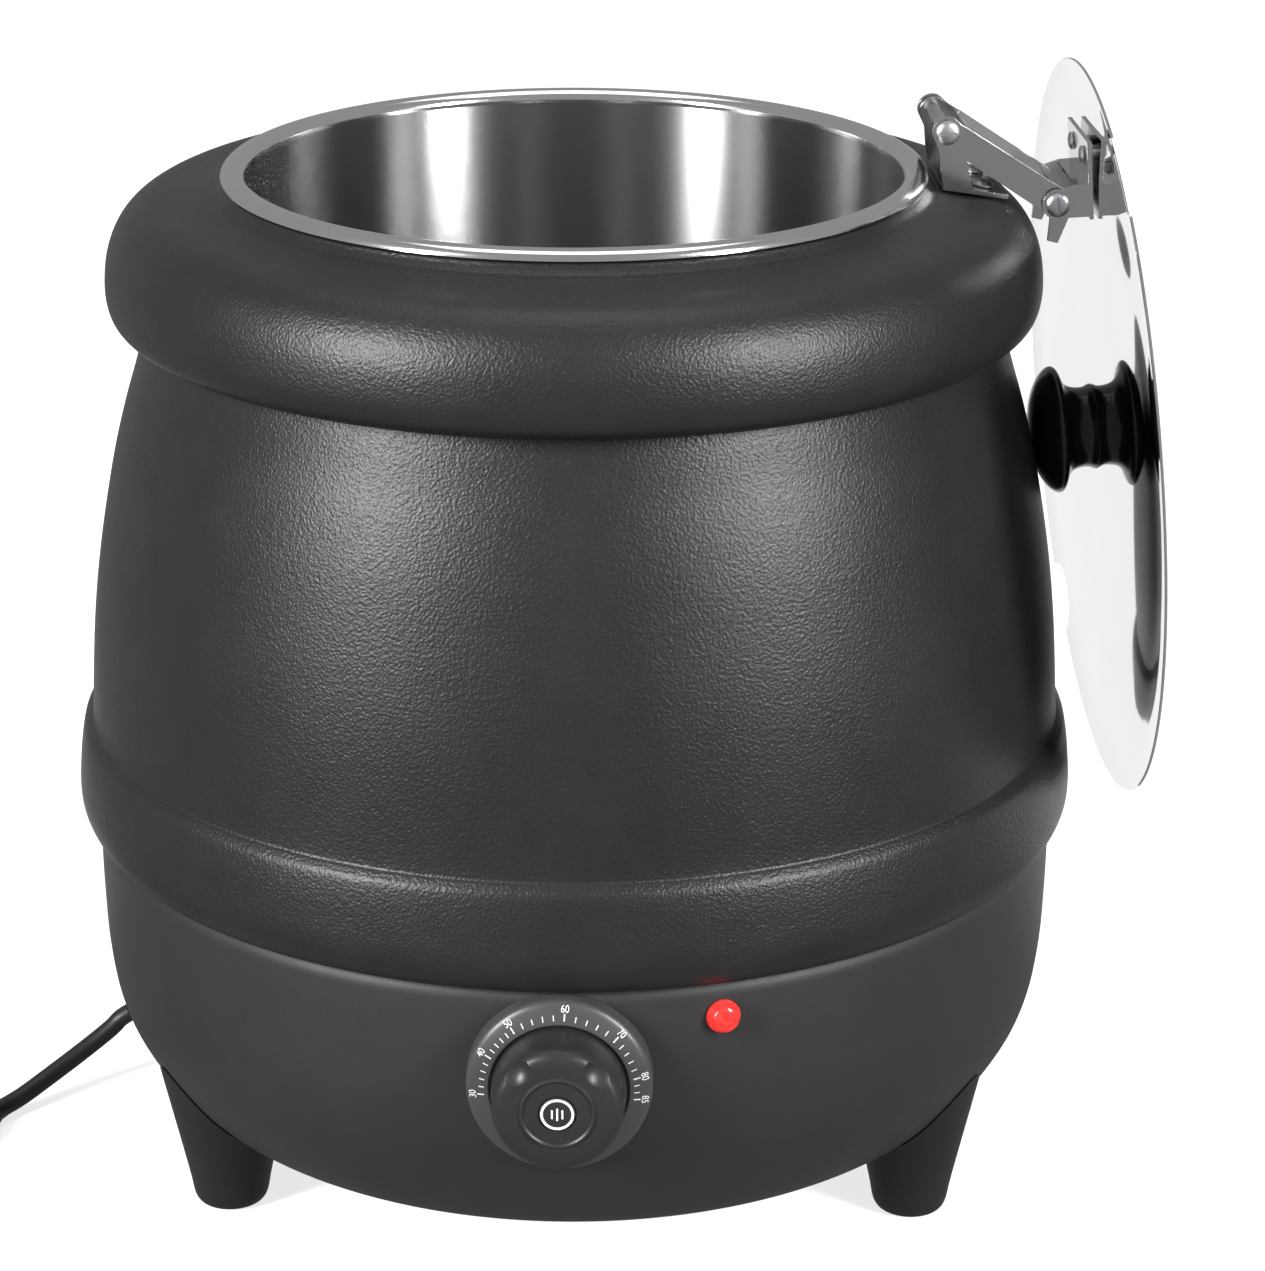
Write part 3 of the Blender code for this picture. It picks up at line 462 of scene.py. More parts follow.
def box_mesh(size, matrix):
    form = bmesh.new()
    bmesh.ops.create_cube(form, size=1.0)
    bmesh.ops.scale(form, vec=size, verts=form.verts)
    mesh = mesh_of(form, "box")
    mesh.transform(matrix)
    return mesh


def facing(direction):
    """The turn that takes +Z to the direction."""
    return direction.to_track_quat("Z", "Y").to_matrix().to_4x4()


def polar(azimuth, radius, height=0.0):
    """A place on the kettle's own axis frame; azimuth is in degrees from the dial towards +X."""
    turn = math.radians(azimuth)
    return Vector((radius * math.sin(turn), -radius * math.cos(turn), height))


# ---------------------------------------------------------------- the cord

CORD_RADIUS = 0.00325
COIL_CENTRE = (-0.2690, -0.0340)
COIL_RADIUS = 0.0356
COIL_EDGE = COIL_RADIUS + 4 * CORD_RADIUS + 0.0002
COIL_OUTER_TURN = COIL_EDGE - CORD_RADIUS
PLUG_OFFSET = 0.0330
PLUG_RADIUS = 0.0185


def cord_direction():
    """Which way the cord leaves the casing."""
    dip, flat = math.radians(36.0), polar(-97.0, 1.0).normalized()
    return Vector((flat.x * math.cos(dip), flat.y * math.cos(dip), -math.sin(dip)))


def gland_point(distance):
    """A place along the cord's first straight, from the wall outwards."""
    return polar(-97.0, 0.1472, 0.0390) + cord_direction() * distance


def cord_route():
    """From the boot to the floor, three turns in each of two layers, and up to the plug's tail."""
    outer = COIL_OUTER_TURN
    middle = Vector((*COIL_CENTRE, CORD_RADIUS + 0.0001))
    heading = Vector((-0.62, -0.78, 0)).normalized()
    inwards = Vector((heading.y, -heading.x, 0))
    touch = middle - inwards * outer
    lead = [gland_point(0.0186), gland_point(0.0240),
            (-0.1690, 0.0186, 0.0215), (-0.1776, 0.0140, 0.0156), (-0.1880, 0.0062, 0.0098),
            (-0.1982, -0.0045, 0.0055), (-0.2060, -0.0142, 0.0037),
            touch - heading * 0.0400, touch - heading * 0.0200]
    start = math.atan2(touch.y - middle.y, touch.x - middle.x)
    pitch, layer, rise = 2 * CORD_RADIUS + 0.0001, 3.0, 0.21
    turns = (start - math.pi) % math.tau / math.tau + 6
    coil = []
    per_turn = 30
    steps = round(turns * per_turn)
    for i in range(steps + 1):
        done = turns * i / steps
        angle = start - math.tau * done
        if done <= layer:
            radius, lift = outer - pitch * done, 0.0
        elif done <= layer + rise:
            part = (done - layer) / rise
            radius, lift = outer - pitch * layer, pitch * (3 - 2 * part) * part * part
        else:
            radius, lift = min(outer, outer - pitch * (2 * layer + rise - done)), pitch
        coil.append(middle + Vector((radius * math.cos(angle), radius * math.sin(angle), lift)))
    tail = Vector((COIL_CENTRE[0] - outer, COIL_CENTRE[1] + PLUG_OFFSET - 0.0150, PLUG_RADIUS + 0.0001))
    end = [tail - Vector((0, 0.0060, 0.0006)), tail - Vector((0, 0.0002, 0))]
    left_out = 4  # the coil's last points, so that the rise to the plug is an easy bend
    return lead + coil[:-left_out] + end


def power_cord(looks):
    fine = smooth_line(cord_route(), 3)
    spots = [KETTLE @ p for p in fine]
    data = bpy.data.curves.new("power_cord_run", "CURVE")
    data.dimensions = "3D"
    data.bevel_depth = CORD_RADIUS
    data.bevel_resolution = 5
    data.use_fill_caps = True
    line = data.splines.new("POLY")
    line.points.add(len(spots) - 1)
    for point, spot in zip(line.points, spots):
        point.co = (*spot, 1)
    data.materials.append(looks["cord"])
    made = bpy.data.objects.new("power_cord_run", data)
    bpy.context.scene.collection.objects.link(made)
    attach(made, "kettle")
    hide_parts("power_cord", "cord_coil")
    relief = strain_relief(looks)
    body, pins = plug(looks)
    tie = coil_tie(looks)


def coil_tie(looks):
    """A rubber strap round both layers of the coil, on its side towards the dial."""
    low, high, near, far = 0.0001, 4 * CORD_RADIUS + 0.0008, COIL_EDGE - 0.0268, COIL_EDGE + 0.0004
    bend = 0.0030
    form, loops = bmesh.new(), []
    for inset, half in ((0.0, 0.0034), (0.0, -0.0034), (0.0007, -0.0040), (0.0007, 0.0040)):
        ring = []
        for cx, cz, first in ((far, high, 0), (near, high, 90), (near, low, 180), (far, low, 270)):
            corner = (cx - math.copysign(bend, cx - (near + far) / 2),
                      cz - math.copysign(bend, cz - (low + high) / 2))
            ring += [form.verts.new((x, half, z))
                     for x, z in arc(corner, bend - inset, first, first + 90, 6)]
        loops.append(ring)
    for one, other in zip(loops, loops[1:] + loops[:1]):
        for i in range(len(one)):
            j = (i + 1) % len(one)
            form.faces.new((one[i], one[j], other[j], other[i]))
    bmesh.ops.recalc_face_normals(form, faces=form.faces)
    turn = Matrix.Rotation(math.radians(-80.0), 4, "Z")
    return piece("coil_strap", mesh_of(form, "coil_strap"), looks["silicone"],
                 KETTLE @ Matrix.Translation((*COIL_CENTRE, 0)) @ turn, "kettle", (), 50)


def strain_relief(looks):
    """The ribbed boot round the cord where it leaves the casing."""
    rows = [(0.0, 0.0180), (0.0036, 0.0180), (0.0042, 0.0174)]
    for i in range(4):
        at = 0.0158 - i * 0.0030
        rows += [(0.0043 + i * 0.0003, at), (0.0037 + i * 0.0003, at - 0.0004),
                 (0.0038 + i * 0.0003, at - 0.0012), (0.0045 + i * 0.0003, at - 0.0016)]
    rows += [(0.0056, 0.0042), (0.0080, 0.0040), (0.0082, 0.0036), (0.0082, 0.0018), (0.0055, 0.0018),
             (0.0055, -0.0050), (0.0068, -0.0062), (0.0055, -0.0110), (0.0, -0.0110)]
    place = KETTLE @ Matrix.Translation(gland_point(0)) @ facing(cord_direction())
    return piece("cord_boot", lathe_mesh("cord_boot", rows, 48), looks["cord"], place, "kettle",
                 ["strain_relief"], 35)


def plug(looks):
    """A round two-pin plug lying beside the coil, with its two pins."""
    radius, length = PLUG_RADIUS, 0.0380
    at = Vector((COIL_CENTRE[0] - COIL_OUTER_TURN, COIL_CENTRE[1] + PLUG_OFFSET, radius + 0.0001))
    rows = [(0.0, length), (radius - 0.0022, length), (radius - 0.0006, length - 0.0006),
            (radius, length - 0.0022), (radius, 0.0205), (radius - 0.0010, 0.0195),
            (radius - 0.0010, 0.0185), (radius - 0.0004, 0.0172), (0.0165, 0.0120), (0.0140, 0.0066),
            (0.0100, 0.0018), (0.0070, -0.0012)]
    for i in range(3):
        rows += [(0.0062 - i * 0.0004, -0.0030 - i * 0.0036), (0.0054 - i * 0.0004, -0.0036 - i * 0.0036),
                 (0.0054 - i * 0.0004, -0.0048 - i * 0.0036), (0.0060 - i * 0.0004, -0.0054 - i * 0.0036)]
    rows += [(0.0047, -0.0144), (0.0044, -0.0150), (0.0, -0.0150)]
    matrix = KETTLE @ Matrix.Translation(at) @ Matrix.Rotation(-math.pi / 2, 4, "X")
    body = lathe_mesh("plug_moulding", rows, 64)
    sides = [Matrix.Translation((side * 0.0095, 0, 0)) for side in (-1, 1)]
    bores = [cylinder_mesh(0.0027, length - 0.007, length + 0.01, 24, side) for side in sides]
    body = piece("plug_moulding", cut(body, bores), looks["cord"], matrix, "kettle", ["plug_body"], 35)
    rows = [(0.0, length + 0.0190), (0.0012, length + 0.0189), (0.0021, length + 0.0180),
            (0.0024, length + 0.0168), (0.0024, length - 0.0060), (0.0, length - 0.0060)]
    pins = [piece(f"plug_contact_{number}", lathe_mesh("pin", rows, 28), looks["brass"], matrix @ side,
                  "kettle", [f"plug_pin_{number}"])
            for number, side in enumerate(sides, start=1)]
    return body, pins


# ---------------------------------------------------------------- the casing

COLLAR = [(0.1106, 0.3360), (0.1106, 0.3424), (0.1110, 0.3433), (0.1118, 0.3438), (0.1146, 0.3438),
          (0.1155, 0.3434), (0.1164, 0.3422), (0.1180, 0.3408), (0.1240, 0.3392), (0.1304, 0.3382),
          (0.1370, 0.3373), (0.1425, 0.3356), (0.1475, 0.3320), (0.1512, 0.3268), (0.1536, 0.3203),
          (0.1546, 0.3133), (0.1545, 0.3070), (0.1530, 0.3020), (0.1496, 0.2988), (0.1458, 0.2974),
          (0.1424, 0.2971)]

BARREL = [(0.1392, 0.3040), (0.1411, 0.2980), (0.1434, 0.2903), (0.1463, 0.2800), (0.1499, 0.2680),
          (0.1537, 0.2530), (0.1567, 0.2380), (0.1593, 0.2230), (0.1614, 0.2080), (0.1629, 0.1930),
          (0.1639, 0.1780), (0.1645, 0.1660), (0.1649, 0.1615), (0.1662, 0.1602), (0.1677, 0.1577),
          (0.1689, 0.1510), (0.1696, 0.1440), (0.1700, 0.1375), (0.1696, 0.1325), (0.1680, 0.1284),
          (0.1659, 0.1256), (0.1649, 0.1250)]

BOWL = [(0.1612, 0.1310), (0.1618, 0.1246), (0.1634, 0.1215), (0.1637, 0.1170), (0.1637, 0.1080),
        (0.1634, 0.0960), (0.1629, 0.0840), (0.1619, 0.0740), (0.1603, 0.0645), (0.1574, 0.0555),
        (0.1532, 0.0475), (0.1481, 0.0400), (0.1430, 0.0343), (0.1385, 0.0307), (0.1330, 0.0278),
        (0.1285, 0.0264), (0.1180, 0.0260)]


def lamp_frame():
    """The lamp's place on the bowl, with +Z straight out."""
    return Matrix.Translation(polar(18, BOWL_WALL, 0.1134)) @ facing(polar(18, 1.0).normalized())


def flange_holes(place):
    """Tools for the flange's two screw holes; place is the hinge's frame, seen from the piece's own."""
    spots = [flange_point(0.0035, -0.0150) + Vector((0, aside, 0)) for aside in SCREWS_ASIDE]
    return [cylinder_mesh(0.0018, 0, 0.025, 20, place @ Matrix.Translation(spot) @ FLANGE_TILT)
            for spot in spots]


def flat(points):
    """The points as plain (radius, height) pairs."""
    return [(p[0], p[1]) for p in points]


def casing(looks):
    collar = smooth_line(COLLAR, 5, corners=(1, 4, 7))
    mesh = merged(lathe_mesh("collar", shell(flat(collar), -0.0016), 256))
    holes = flange_holes(KETTLE.inverted() @ HINGE)
    piece("collar", cut(mesh, holes), looks["casing"], KETTLE, "kettle", ["collar_ring"], 60)
    barrel = smooth_line(BARREL, 5, corners=(12,))
    mesh = merged(lathe_mesh("barrel", shell(flat(barrel), -0.0014), 256))
    piece("barrel", mesh, looks["casing"], KETTLE, "kettle", ["barrel_shell"], 60)
    bowl = smooth_line(BOWL, 5, corners=(1,))
    mesh = merged(lathe_mesh("bowl", shell(flat(bowl), -0.0022), 256))
    gland = Matrix.Translation(gland_point(0)) @ facing(cord_direction())
    tools = [cylinder_mesh(0.0046, -0.012, 0.008, 32, lamp_frame()),
             cylinder_mesh(0.0059, -0.012, 0.008, 32, gland),
             cylinder_mesh(0.0056, -0.010, 0.010, 32, KETTLE.inverted() @ DIAL)]
    for azimuth in (0, 120, 240):
        tools.append(cylinder_mesh(0.0019, 0.020, 0.035, 20, Matrix.Translation(polar(azimuth, 0.1222))))
    for azimuth in FEET.values():
        place = Matrix.Translation(polar(azimuth, FOOT_CIRCLE))
        tools.append(cylinder_mesh(0.0023, 0.015, 0.045, 20, place))
    piece("bowl", cut(mesh, tools), looks["bowl"], KETTLE, "kettle", ["lower_bowl"], 60)


def pot(looks):
    """The lift-out pot: brushed inside and out, with a polished rolled rim."""
    rim = [(0.1162, 0.3444), (0.1160, 0.3452), (0.1152, 0.3463), (0.1138, 0.3471), (0.1120, 0.3475),
           (0.1101, 0.3472), (0.1086, 0.3462), (0.1077, 0.3449), (0.1075, 0.3432)]
    wall = [(0.1075, 0.3432), (0.1075, 0.1120), (0.1071, 0.1060), (0.1050, 0.1005), (0.1018, 0.0965),
            (0.0975, 0.0938), (0.0930, 0.0927), (0.0880, 0.0925)]
    inner = smooth_line(rim, 6) + smooth_line(wall, 5, corners=(1,))[1:]
    mesh = merged(lathe_mesh("pot", shell(flat(inner) + [(0.0, 0.0925)], 0.0008), 256))
    piece("pot", mesh, looks["pot"], KETTLE, "pot", ["food_pot"], 60)
    mesh.materials.append(looks["rim"])
    for face in mesh.polygons:
        if face.center.z > 0.3425:
            face.material_index = 1


def feet(looks):
    """Three tapered feet, their tops cut to the bowl."""
    inner = [(r + 0.0004, z - 0.0003) for r, z in flat(smooth_line(BOWL[2:], 4))]
    cutter = [(0.0, 0.150), (inner[0][0], 0.150), *inner, (0.0, inner[-1][1])]
    rows = [(0.0, 0.0560), (0.0236, 0.0560), (0.0225, 0.0500), (0.0168, 0.0240), (0.0138, 0.0100),
            (0.0131, 0.0060), (0.0124, 0.0030), (0.0112, 0.0010), (0.0095, 0.0), (0.0048, 0.0),
            (0.0048, 0.0060), (0.0023, 0.0060), (0.0023, 0.0550), (0.0, 0.0550)]
    outline = rows[:1] + flat(smooth_line(rows[1:9], 5)) + rows[9:]
    for name, azimuth in FEET.items():
        mesh = lathe_mesh("foot", outline, 96)
        mesh.transform(Matrix.Translation(polar(azimuth, FOOT_CIRCLE)))
        mesh = cut(mesh, [lathe_mesh("cutter", cutter, 192)])
        piece(f"{name}_leg", mesh, looks["foot"], KETTLE, "kettle", [f"foot_{name}"], 45)


# ---------------------------------------------------------------- dial, knob and lamp

SKIRT_TOP = (0.0232, 0.0071)
SKIRT_SLOPE = math.atan2(0.0071 - 0.0056, 0.0272 - 0.0232)


def on_skirt(angle, radius, proud):
    """A place on the dial's sloping skirt; angle is in degrees clockwise from its top."""
    height = SKIRT_TOP[1] - (radius - SKIRT_TOP[0]) * math.tan(SKIRT_SLOPE) + proud
    return (Matrix.Rotation(-math.radians(angle), 4, "Z") @ Matrix.Translation((0, radius, height))
            @ Matrix.Rotation(-SKIRT_SLOPE, 4, "X"))


def label_mesh(number):
    curve = bpy.data.curves.new("label", "FONT")
    curve.body = str(number)
    curve.size = 0.0034
    curve.align_x = "CENTER"
    curve.align_y = "CENTER"
    curve.extrude = 0.00004
    carrier = bpy.data.objects.new("label", curve)
    bpy.context.scene.collection.objects.link(carrier)
    bpy.context.view_layer.update()
    mesh = baked(carrier)
    bpy.data.objects.remove(carrier, do_unlink=True)
    return mesh


def dial(looks):
    """The ring behind the knob, with its ticks and numbers."""
    rows = [(0.0217, 0.0054), (0.0217, 0.0070), (0.0222, 0.0073), (0.0232, 0.0071), (0.0272, 0.0056),
            (0.0284, 0.0050), (0.0290, 0.0042), (0.0292, 0.0030), (0.0292, -0.0060), (0.0100, -0.0060),
            (0.0100, 0.0054), (0.0217, 0.0054)]
    mesh = merged(lathe_mesh("dial", rows, 128))
    relief = [(r + 0.0003, z) for r, z in flat(smooth_line(BOWL[2:8], 3))]
    tool = lathe_mesh("cutter", [(0.0, 0.150), (0.1640, 0.150), *relief, (0.0, relief[-1][1])], 360)
    tool.transform((KETTLE.inverted() @ DIAL).inverted())
    piece("dial_ring", cut(mesh, [tool]), looks["dial"], DIAL, "kettle", ["dial_plate"], 35)
    marks = bmesh.new()
    labels = [(30, -95), (40, -64), (50, -36), (60, 4), (70, 46), (80, 81), (85, 98)]
    stops = []
    for (low, first), (high, last) in zip(labels, labels[1:]):
        count = 5 if high - low == 10 else 3
        stops += [(first + (last - first) * i / count, i == 0) for i in range(count)]
    stops.append((98, True))
    for angle, major in stops:
        width, long = (0.00040, 0.0023) if major else (0.00030, 0.0018)
        marks.from_mesh(box_mesh((width, long, 0.00006), on_skirt(angle, 0.0233 + long / 2, 0.00005)))
    piece("dial_ticks", mesh_of(marks, "dial_ticks"), looks["print"], DIAL, "kettle")
    for number, angle in labels:
        mesh = label_mesh(number)
        mesh.transform(on_skirt(angle, 0.0269, 0.00012) @ Matrix.Diagonal((0.80, 1.0, 1.0, 1.0)))
        piece(f"dial_label_{number}", mesh, looks["print"], DIAL, "kettle")


def knob(looks):
    """The thermostat's knob, with its pointer, finger dimples and printed button."""
    rows = [(0.0, 0.0172), (0.0060, 0.0172), (0.0060, 0.0178), (0.0104, 0.0178), (0.0107, 0.0182),
            (0.0112, 0.0184), (0.0117, 0.0182), (0.0120, 0.0177), (0.0150, 0.0177), (0.0178, 0.0174),
            (0.0193, 0.0166), (0.0202, 0.0150), (0.0206, 0.0128), (0.0211, 0.0030), (0.0211, 0.0003),
            (0.0033, 0.0003), (0.0033, 0.0116), (0.0, 0.0116)]
    mesh = lathe_mesh("knob", rows, 128)
    nib = bmesh.new()
    outline = [(-0.0026, -0.0170), (0.0026, -0.0170), (0.0022, -0.0235), (0.0, -0.0255),
               (-0.0022, -0.0235)]
    low = [nib.verts.new((x, y, 0.0022)) for x, y in outline]
    high = [nib.verts.new((x * 0.75, y, 0.0082 if y > -0.02 else 0.0060)) for x, y in outline]
    nib.faces.new(low[::-1])
    nib.faces.new(high)
    for i in range(len(outline)):
        j = (i + 1) % len(outline)
        nib.faces.new((low[i], low[j], high[j], high[i]))
    bmesh.ops.recalc_face_normals(nib, faces=nib.faces)
    mesh = cut(mesh, [mesh_of(nib, "nib")], "UNION")
    dimples = []
    for side in (-1, 1):
        ball = bmesh.new()
        bmesh.ops.create_uvsphere(ball, u_segments=48, v_segments=32, radius=0.0075)
        bmesh.ops.translate(ball, verts=ball.verts, vec=(0.0140 * side, 0.0150, 0.0222))
        dimples.append(mesh_of(ball, "dimple"))
    piece("knob_cap", cut(mesh, dimples), looks["knob"], KNOB, "dial_knob", ["thermostat_knob"], 35)
    disc = [(0.0, 0.0182), (0.0050, 0.0182), (0.0055, 0.0180), (0.0057, 0.0176), (0.0057, 0.0173),
            (0.0, 0.0173)]
    piece("knob_button", lathe_mesh("button", disc, 64), looks["knob"], KNOB, "dial_knob",
          ["knob_insert"], 35)
    ring = [(0.0044, 0.01822), (0.0044, 0.01832), (0.0052, 0.01832), (0.0052, 0.01822), (0.0044, 0.01822)]
    piece("knob_ring_print", merged(lathe_mesh("ring", ring, 64)), looks["print"], KNOB, "dial_knob")
    bars = bmesh.new()
    for aside, long in ((-0.0016, 0.0030), (0.0, 0.0042), (0.0016, 0.0030)):
        bars.from_mesh(box_mesh((0.00055, long, 0.00008), Matrix.Translation((aside, 0, 0.01826))))
    piece("knob_heat_bars", mesh_of(bars, "bars"), looks["print"], KNOB, "dial_knob")


def lamp(looks):
    rows = [(0.0, 0.0048), (0.0022, 0.0047), (0.0036, 0.0043), (0.0044, 0.0036), (0.0047, 0.0024),
            (0.0048, 0.0016), (0.0054, 0.0014), (0.0054, 0.0003), (0.0, 0.0003)]
    fine = flat(smooth_line(rows[:6], 4)) + rows[6:]
    piece("lamp_cap", lathe_mesh("lamp_cap", fine, 64), looks["lens"], KETTLE @ lamp_frame(), "kettle",
          ["lamp_lens"], 35)


# ---------------------------------------------------------------- hinge and lid


def flange_point(along, up):
    """A place on the hinge's sloping flange, in the hinge's own frame."""
    across, rise = math.cos(FLANGE_SLOPE), math.sin(FLANGE_SLOPE)
    return Vector((0.1302 + along * across + up * rise, 0, 0.3388 - along * rise + up * across))


def arc(centre, radius, start, end, count=20):
    steps = [math.radians(start + (end - start) * i / count) for i in range(count + 1)]
    return [(centre[0] + radius * math.cos(a), centre[1] + radius * math.sin(a)) for a in steps]


def plate_mesh(outline, low, high):
    """An upright plate: outline is (out, up), low and high are across the hinge."""
    form = bmesh.new()
    near = [form.verts.new((x, low, z)) for x, z in outline]
    far = [form.verts.new((x, high, z)) for x, z in outline]
    form.faces.new(near)
    form.faces.new(far[::-1])
    for i in range(len(outline)):
        j = (i + 1) % len(outline)
        form.faces.new((near[j], near[i], far[i], far[j]))
    bmesh.ops.recalc_face_normals(form, faces=form.faces)
    return mesh_of(form, "plate")


def soften(made):
    edge = made.modifiers.new("edges", "BEVEL")
    edge.width = 0.0003
    edge.segments = 2
    edge.limit_method = "ANGLE"
    edge.angle_limit = math.radians(50)


def eared(ear):
    """The pair of outer ears that the hinge's foot and the lid's bracket each have."""
    return [plate_mesh(ear, 0.0170, 0.0185), plate_mesh(ear, -0.0185, -0.0170)]


def joined(meshes):
    return cut(meshes[0], meshes[1:], "UNION")


def pin_bore(x, z):
    return cylinder_mesh(0.0024, -0.030, 0.030, 32, Matrix.Translation((x, 0, z)) @ UPRIGHT)


def hinge_foot(looks):
    radius, height = PIN_A
    toe, heel = flange_point(-0.0108, 0.0008), flange_point(-0.0010, 0.0008)
    ear = ([(toe.x, toe.z), (heel.x, heel.z)] + arc((radius, height), 0.0050, -10, 190)
           + [(0.1180, height - 0.0060), (0.1186, toe.z + 0.0060)])
    foot = box_mesh((0.0220, 0.0367, 0.0014), Matrix.Translation(flange_point(0, 0.0010)) @ FLANGE_TILT)
    base = cut(joined([foot, *eared(ear)]), [pin_bore(radius, height), *flange_holes(Matrix())])
    soften(piece("hinge_foot", base, looks["hinge"], HINGE, "kettle", ["hinge_base_bracket"], 35))


def hinge_link(looks):
    run, drop = PIN_B[0] - PIN_A[0], PIN_B[1] - PIN_A[1]
    slope = math.degrees(math.atan2(drop, run))
    cheek = (arc((0, 0), 0.0045, slope + 90, slope + 270)
             + [(0.0352, -0.0290), (0.0346, -0.0372), (0.0380, -0.0380), (0.0415, -0.0290)]
             + arc((run, drop), 0.0050, -40, slope + 90))
    lean = Matrix.Rotation(-math.radians(slope), 4, "Y")
    web = box_mesh((0.0300, 0.0323, 0.0016), lean @ Matrix.Translation((0.0225, 0, 0.0040)))
    arm = joined([web, plate_mesh(cheek, 0.0148, 0.0163), plate_mesh(cheek, -0.0163, -0.0148)])
    arm = cut(arm, [pin_bore(0, 0), pin_bore(run, drop)])
    at = HINGE @ Matrix.Translation((PIN_A[0], 0, PIN_A[1]))
    soften(piece("hinge_link", arm, looks["hinge"], at, "hinge_arm", ["hinge_arm"], 35))


def lid_clip(looks):
    seat = LID_SEAT
    ear = [(-0.0050, seat), (0.0060, seat), (0.0060, -0.0070)] + arc((0, 0), 0.0050, -20, 200)
    plate = box_mesh((0.0260, 0.0367, 0.0014), Matrix.Translation((0.0070, 0, seat + 0.0007)))
    web = box_mesh((0.0015, 0.0367, 0.0055), Matrix.Translation((0.00525, 0, seat + 0.00275)))
    bores = [pin_bore(0, 0)]
    for aside in SCREWS_ASIDE:
        bores.append(cylinder_mesh(0.0018, -0.020, -0.005, 20, Matrix.Translation((0.0140, aside, 0))))
    bracket = cut(joined([plate, web, *eared(ear)]), bores)
    soften(piece("lid_clip", bracket, looks["hinge"], LID, "lid", ["lid_bracket"], 35))


def hinge_pins(looks):
    """A headed pin through each end of the link, with a slot across both heads."""
    head = [(0.0, 0.0204), (0.0022, 0.0203), (0.0034, 0.0199), (0.0040, 0.0192), (0.0040, 0.0188),
            (0.0022, 0.0188), (0.0022, -0.0188), (0.0040, -0.0188), (0.0040, -0.0192), (0.0034, -0.0199),
            (0.0022, -0.0203), (0.0, -0.0204)]
    upper = HINGE @ Matrix.Translation((PIN_A[0], 0, PIN_A[1]))
    for name, node, at, body in (("upper_pin", "hinge_pin_a", upper, "hinge_arm"),
                                 ("lower_pin", "hinge_pin_b", LID, "lid")):
        slots = [box_mesh((0.0056, 0.0008, 0.0010), Matrix.Translation((0, 0, z)))
                 for z in (0.0202, -0.0202)]
        mesh = cut(lathe_mesh("pin", head, 40), slots)
        piece(name, mesh, looks["zinc"], at @ UPRIGHT, body, [node], 35)


def hinge(looks):
    hinge_foot(looks)
    hinge_link(looks)
    lid_clip(looks)
    hinge_pins(looks)


def rounded_screw(head, height, shank, depth):
    """The profile of a round-headed screw, its head above the seat at 0."""
    return [(0.0, height), (head * 0.5, height * 0.93), (head * 0.82, height * 0.66),
            (head, height * 0.2), (head, 0.0), (shank, 0.0), (shank, -depth), (0.0, -depth)]


def screws(looks):
    for number, aside in enumerate(SCREWS_ASIDE, start=1):
        spot = flange_point(0.0035, 0.0020) + Vector((0, aside, 0))
        cross = [box_mesh((0.0038, 0.0007, 0.0014), Matrix.Translation((0, 0, 0.0018))),
                 box_mesh((0.0007, 0.0038, 0.0014), Matrix.Translation((0, 0, 0.0018)))]
        mesh = cut(lathe_mesh("screw", rounded_screw(0.0034, 0.0018, 0.0015, 0.0090), 32), cross)
        piece(f"flange_screw_{number}", mesh, looks["zinc"], HINGE @ Matrix.Translation(spot) @ FLANGE_TILT,
              "kettle", [f"hinge_base_screw_{number}"], 35)
    for number, aside in enumerate(SCREWS_ASIDE, start=1):
        place = LID @ Matrix.Translation((0.0140, aside, LID_SEAT + 0.0017))
        mesh = lathe_mesh("rivet", rounded_screw(0.0030, 0.0012, 0.0015, 0.0050), 32)
        piece(f"lid_rivet_{number}", mesh, looks["zinc"], place, "lid", [f"lid_bracket_rivet_{number}"], 35)


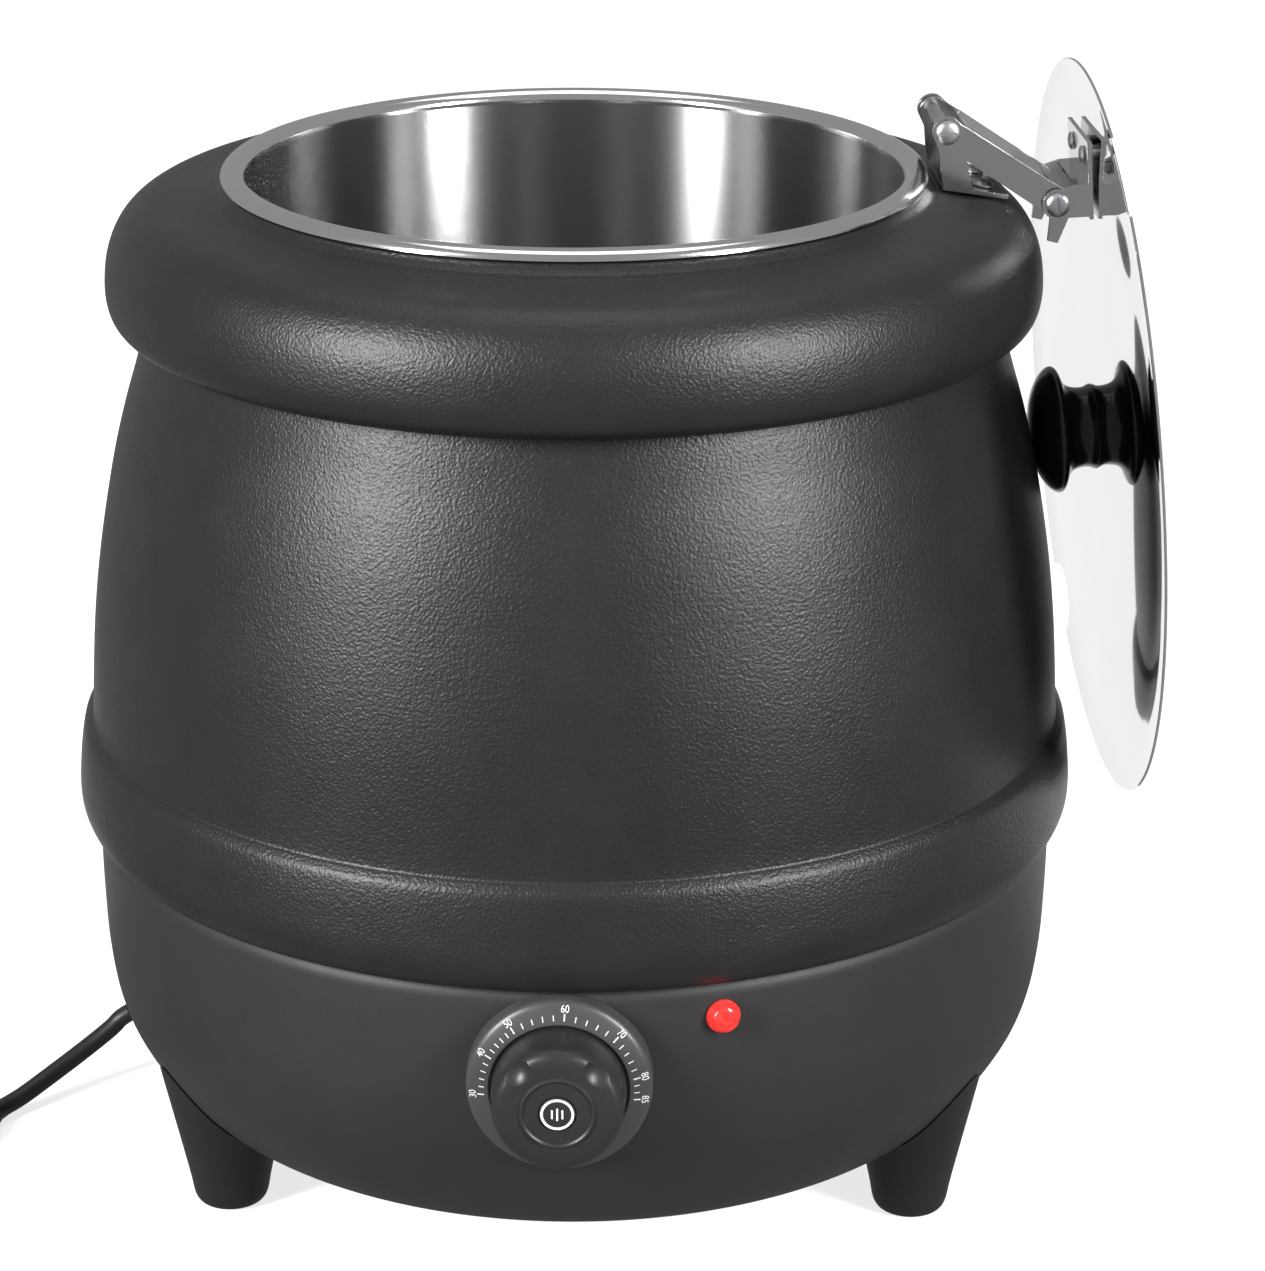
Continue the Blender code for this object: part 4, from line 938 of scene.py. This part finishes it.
def lid(looks):
    """The polished lid, with its notch for a ladle, and its turned knob."""
    top = smooth_line([(0.0, LID_CROWN), (0.0350, 0.0023), (0.0700, 0.0021), (0.0920, 0.0016),
                       (0.1040, 0.0011), (0.1100, 0.0010), (0.1150, 0.0011), (0.1200, 0.0016),
                       (0.1230, 0.0022), (LID_RIM, 0.0025)], 5)
    outer = flat(top)
    under = [(r, z - 0.0010) for r, z in outer]
    rows = outer + under[::-1]
    rows[len(outer) - 1] = (LID_RIM, 0.0023)
    rows[len(outer)] = (LID_RIM, 0.0016)
    mesh = merged(lathe_mesh("lid", rows, 256))
    way = math.radians(180 - 42)
    notch = Vector((math.cos(way), math.sin(way), 0)) * (0.1245 + 0.004)
    tools = [cylinder_mesh(0.0150, -0.010, 0.010, 96, Matrix.Translation(notch)),
             cylinder_mesh(0.0024, -0.010, 0.010, 32)]
    for aside in SCREWS_ASIDE:
        tools.append(cylinder_mesh(0.0018, -0.010, 0.010, 20,
                                   Matrix.Translation((0.0140 - LID_MIDDLE.x, aside, 0))))
    at = LID @ Matrix.Translation(LID_MIDDLE)
    piece("lid_plate", cut(mesh, tools), looks["mirror"], at, "lid", ["lid_disc"], 30)
    rows = [(0.0, 0.0216), (0.0060, 0.0214), (0.0110, 0.0206), (0.0155, 0.0190), (0.0190, 0.0168),
            (0.0209, 0.0148), (0.0215, 0.0132), (0.0211, 0.0120), (0.0198, 0.0111), (0.0172, 0.0101),
            (0.0152, 0.0088), (0.0141, 0.0070), (0.0136, 0.0048), (0.0136, 0.0026), (0.0142, 0.0010),
            (0.0145, 0.0003)]
    outline = flat(smooth_line(rows, 4)) + [(0.0023, 0.0003), (0.0023, 0.0130), (0.0, 0.0130)]
    piece("lid_handle", lathe_mesh("handle", outline, 96), looks["phenolic"],
          at @ Matrix.Translation((0, 0, LID_CROWN)), "lid", ["lid_knob"], 40)


# ---------------------------------------------------------------- the CAD's own nodes


def dress(looks):
    """Gives the CAD nodes that are shown as they are their materials."""
    kinds = {
        "zinc": ["base_plate", "element_clamp", "thermostat_nut", "thermostat_shaft",
                 *(f"base_screw_{i}" for i in (1, 2, 3)), *(f"foot_screw_{i}" for i in (1, 2, 3)),
                 *(f"foot_nut_{name}" for name in FEET)],
        "tub": ["water_tub"],
        "silicone": ["tub_seal"],
        "copper": ["heating_element", "thermostat_bulb", "capillary_tube"],
        "ceramic": ["overheat_cutout", "terminal_block"],
        "phenolic": ["thermostat_body", "indicator_lamp"],
        "brown": ["wire_live_in", "wire_live_thermostat", "wire_live_cutout"],
        "blue": ["wire_neutral_in", "wire_neutral_element"],
        "green": ["wire_earth_in"],
        "hinge": ["lid_knob_screw", "lid_knob_washer"],
    }
    for look, names in kinds.items():
        for name in names:
            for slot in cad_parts[name].material_slots:
                slot.material = looks[look]


def main():
    """Builds the scene: the camera and the cord first, then the stage and the pieces."""
    camera()
    looks = make_looks()
    power_cord(looks)
    studio()
    floor()
    white_card()
    casing(looks)
    pot(looks)
    feet(looks)
    dial(looks)
    knob(looks)
    lamp(looks)
    hinge(looks)
    screws(looks)
    lid(looks)
    dress(looks)


main()
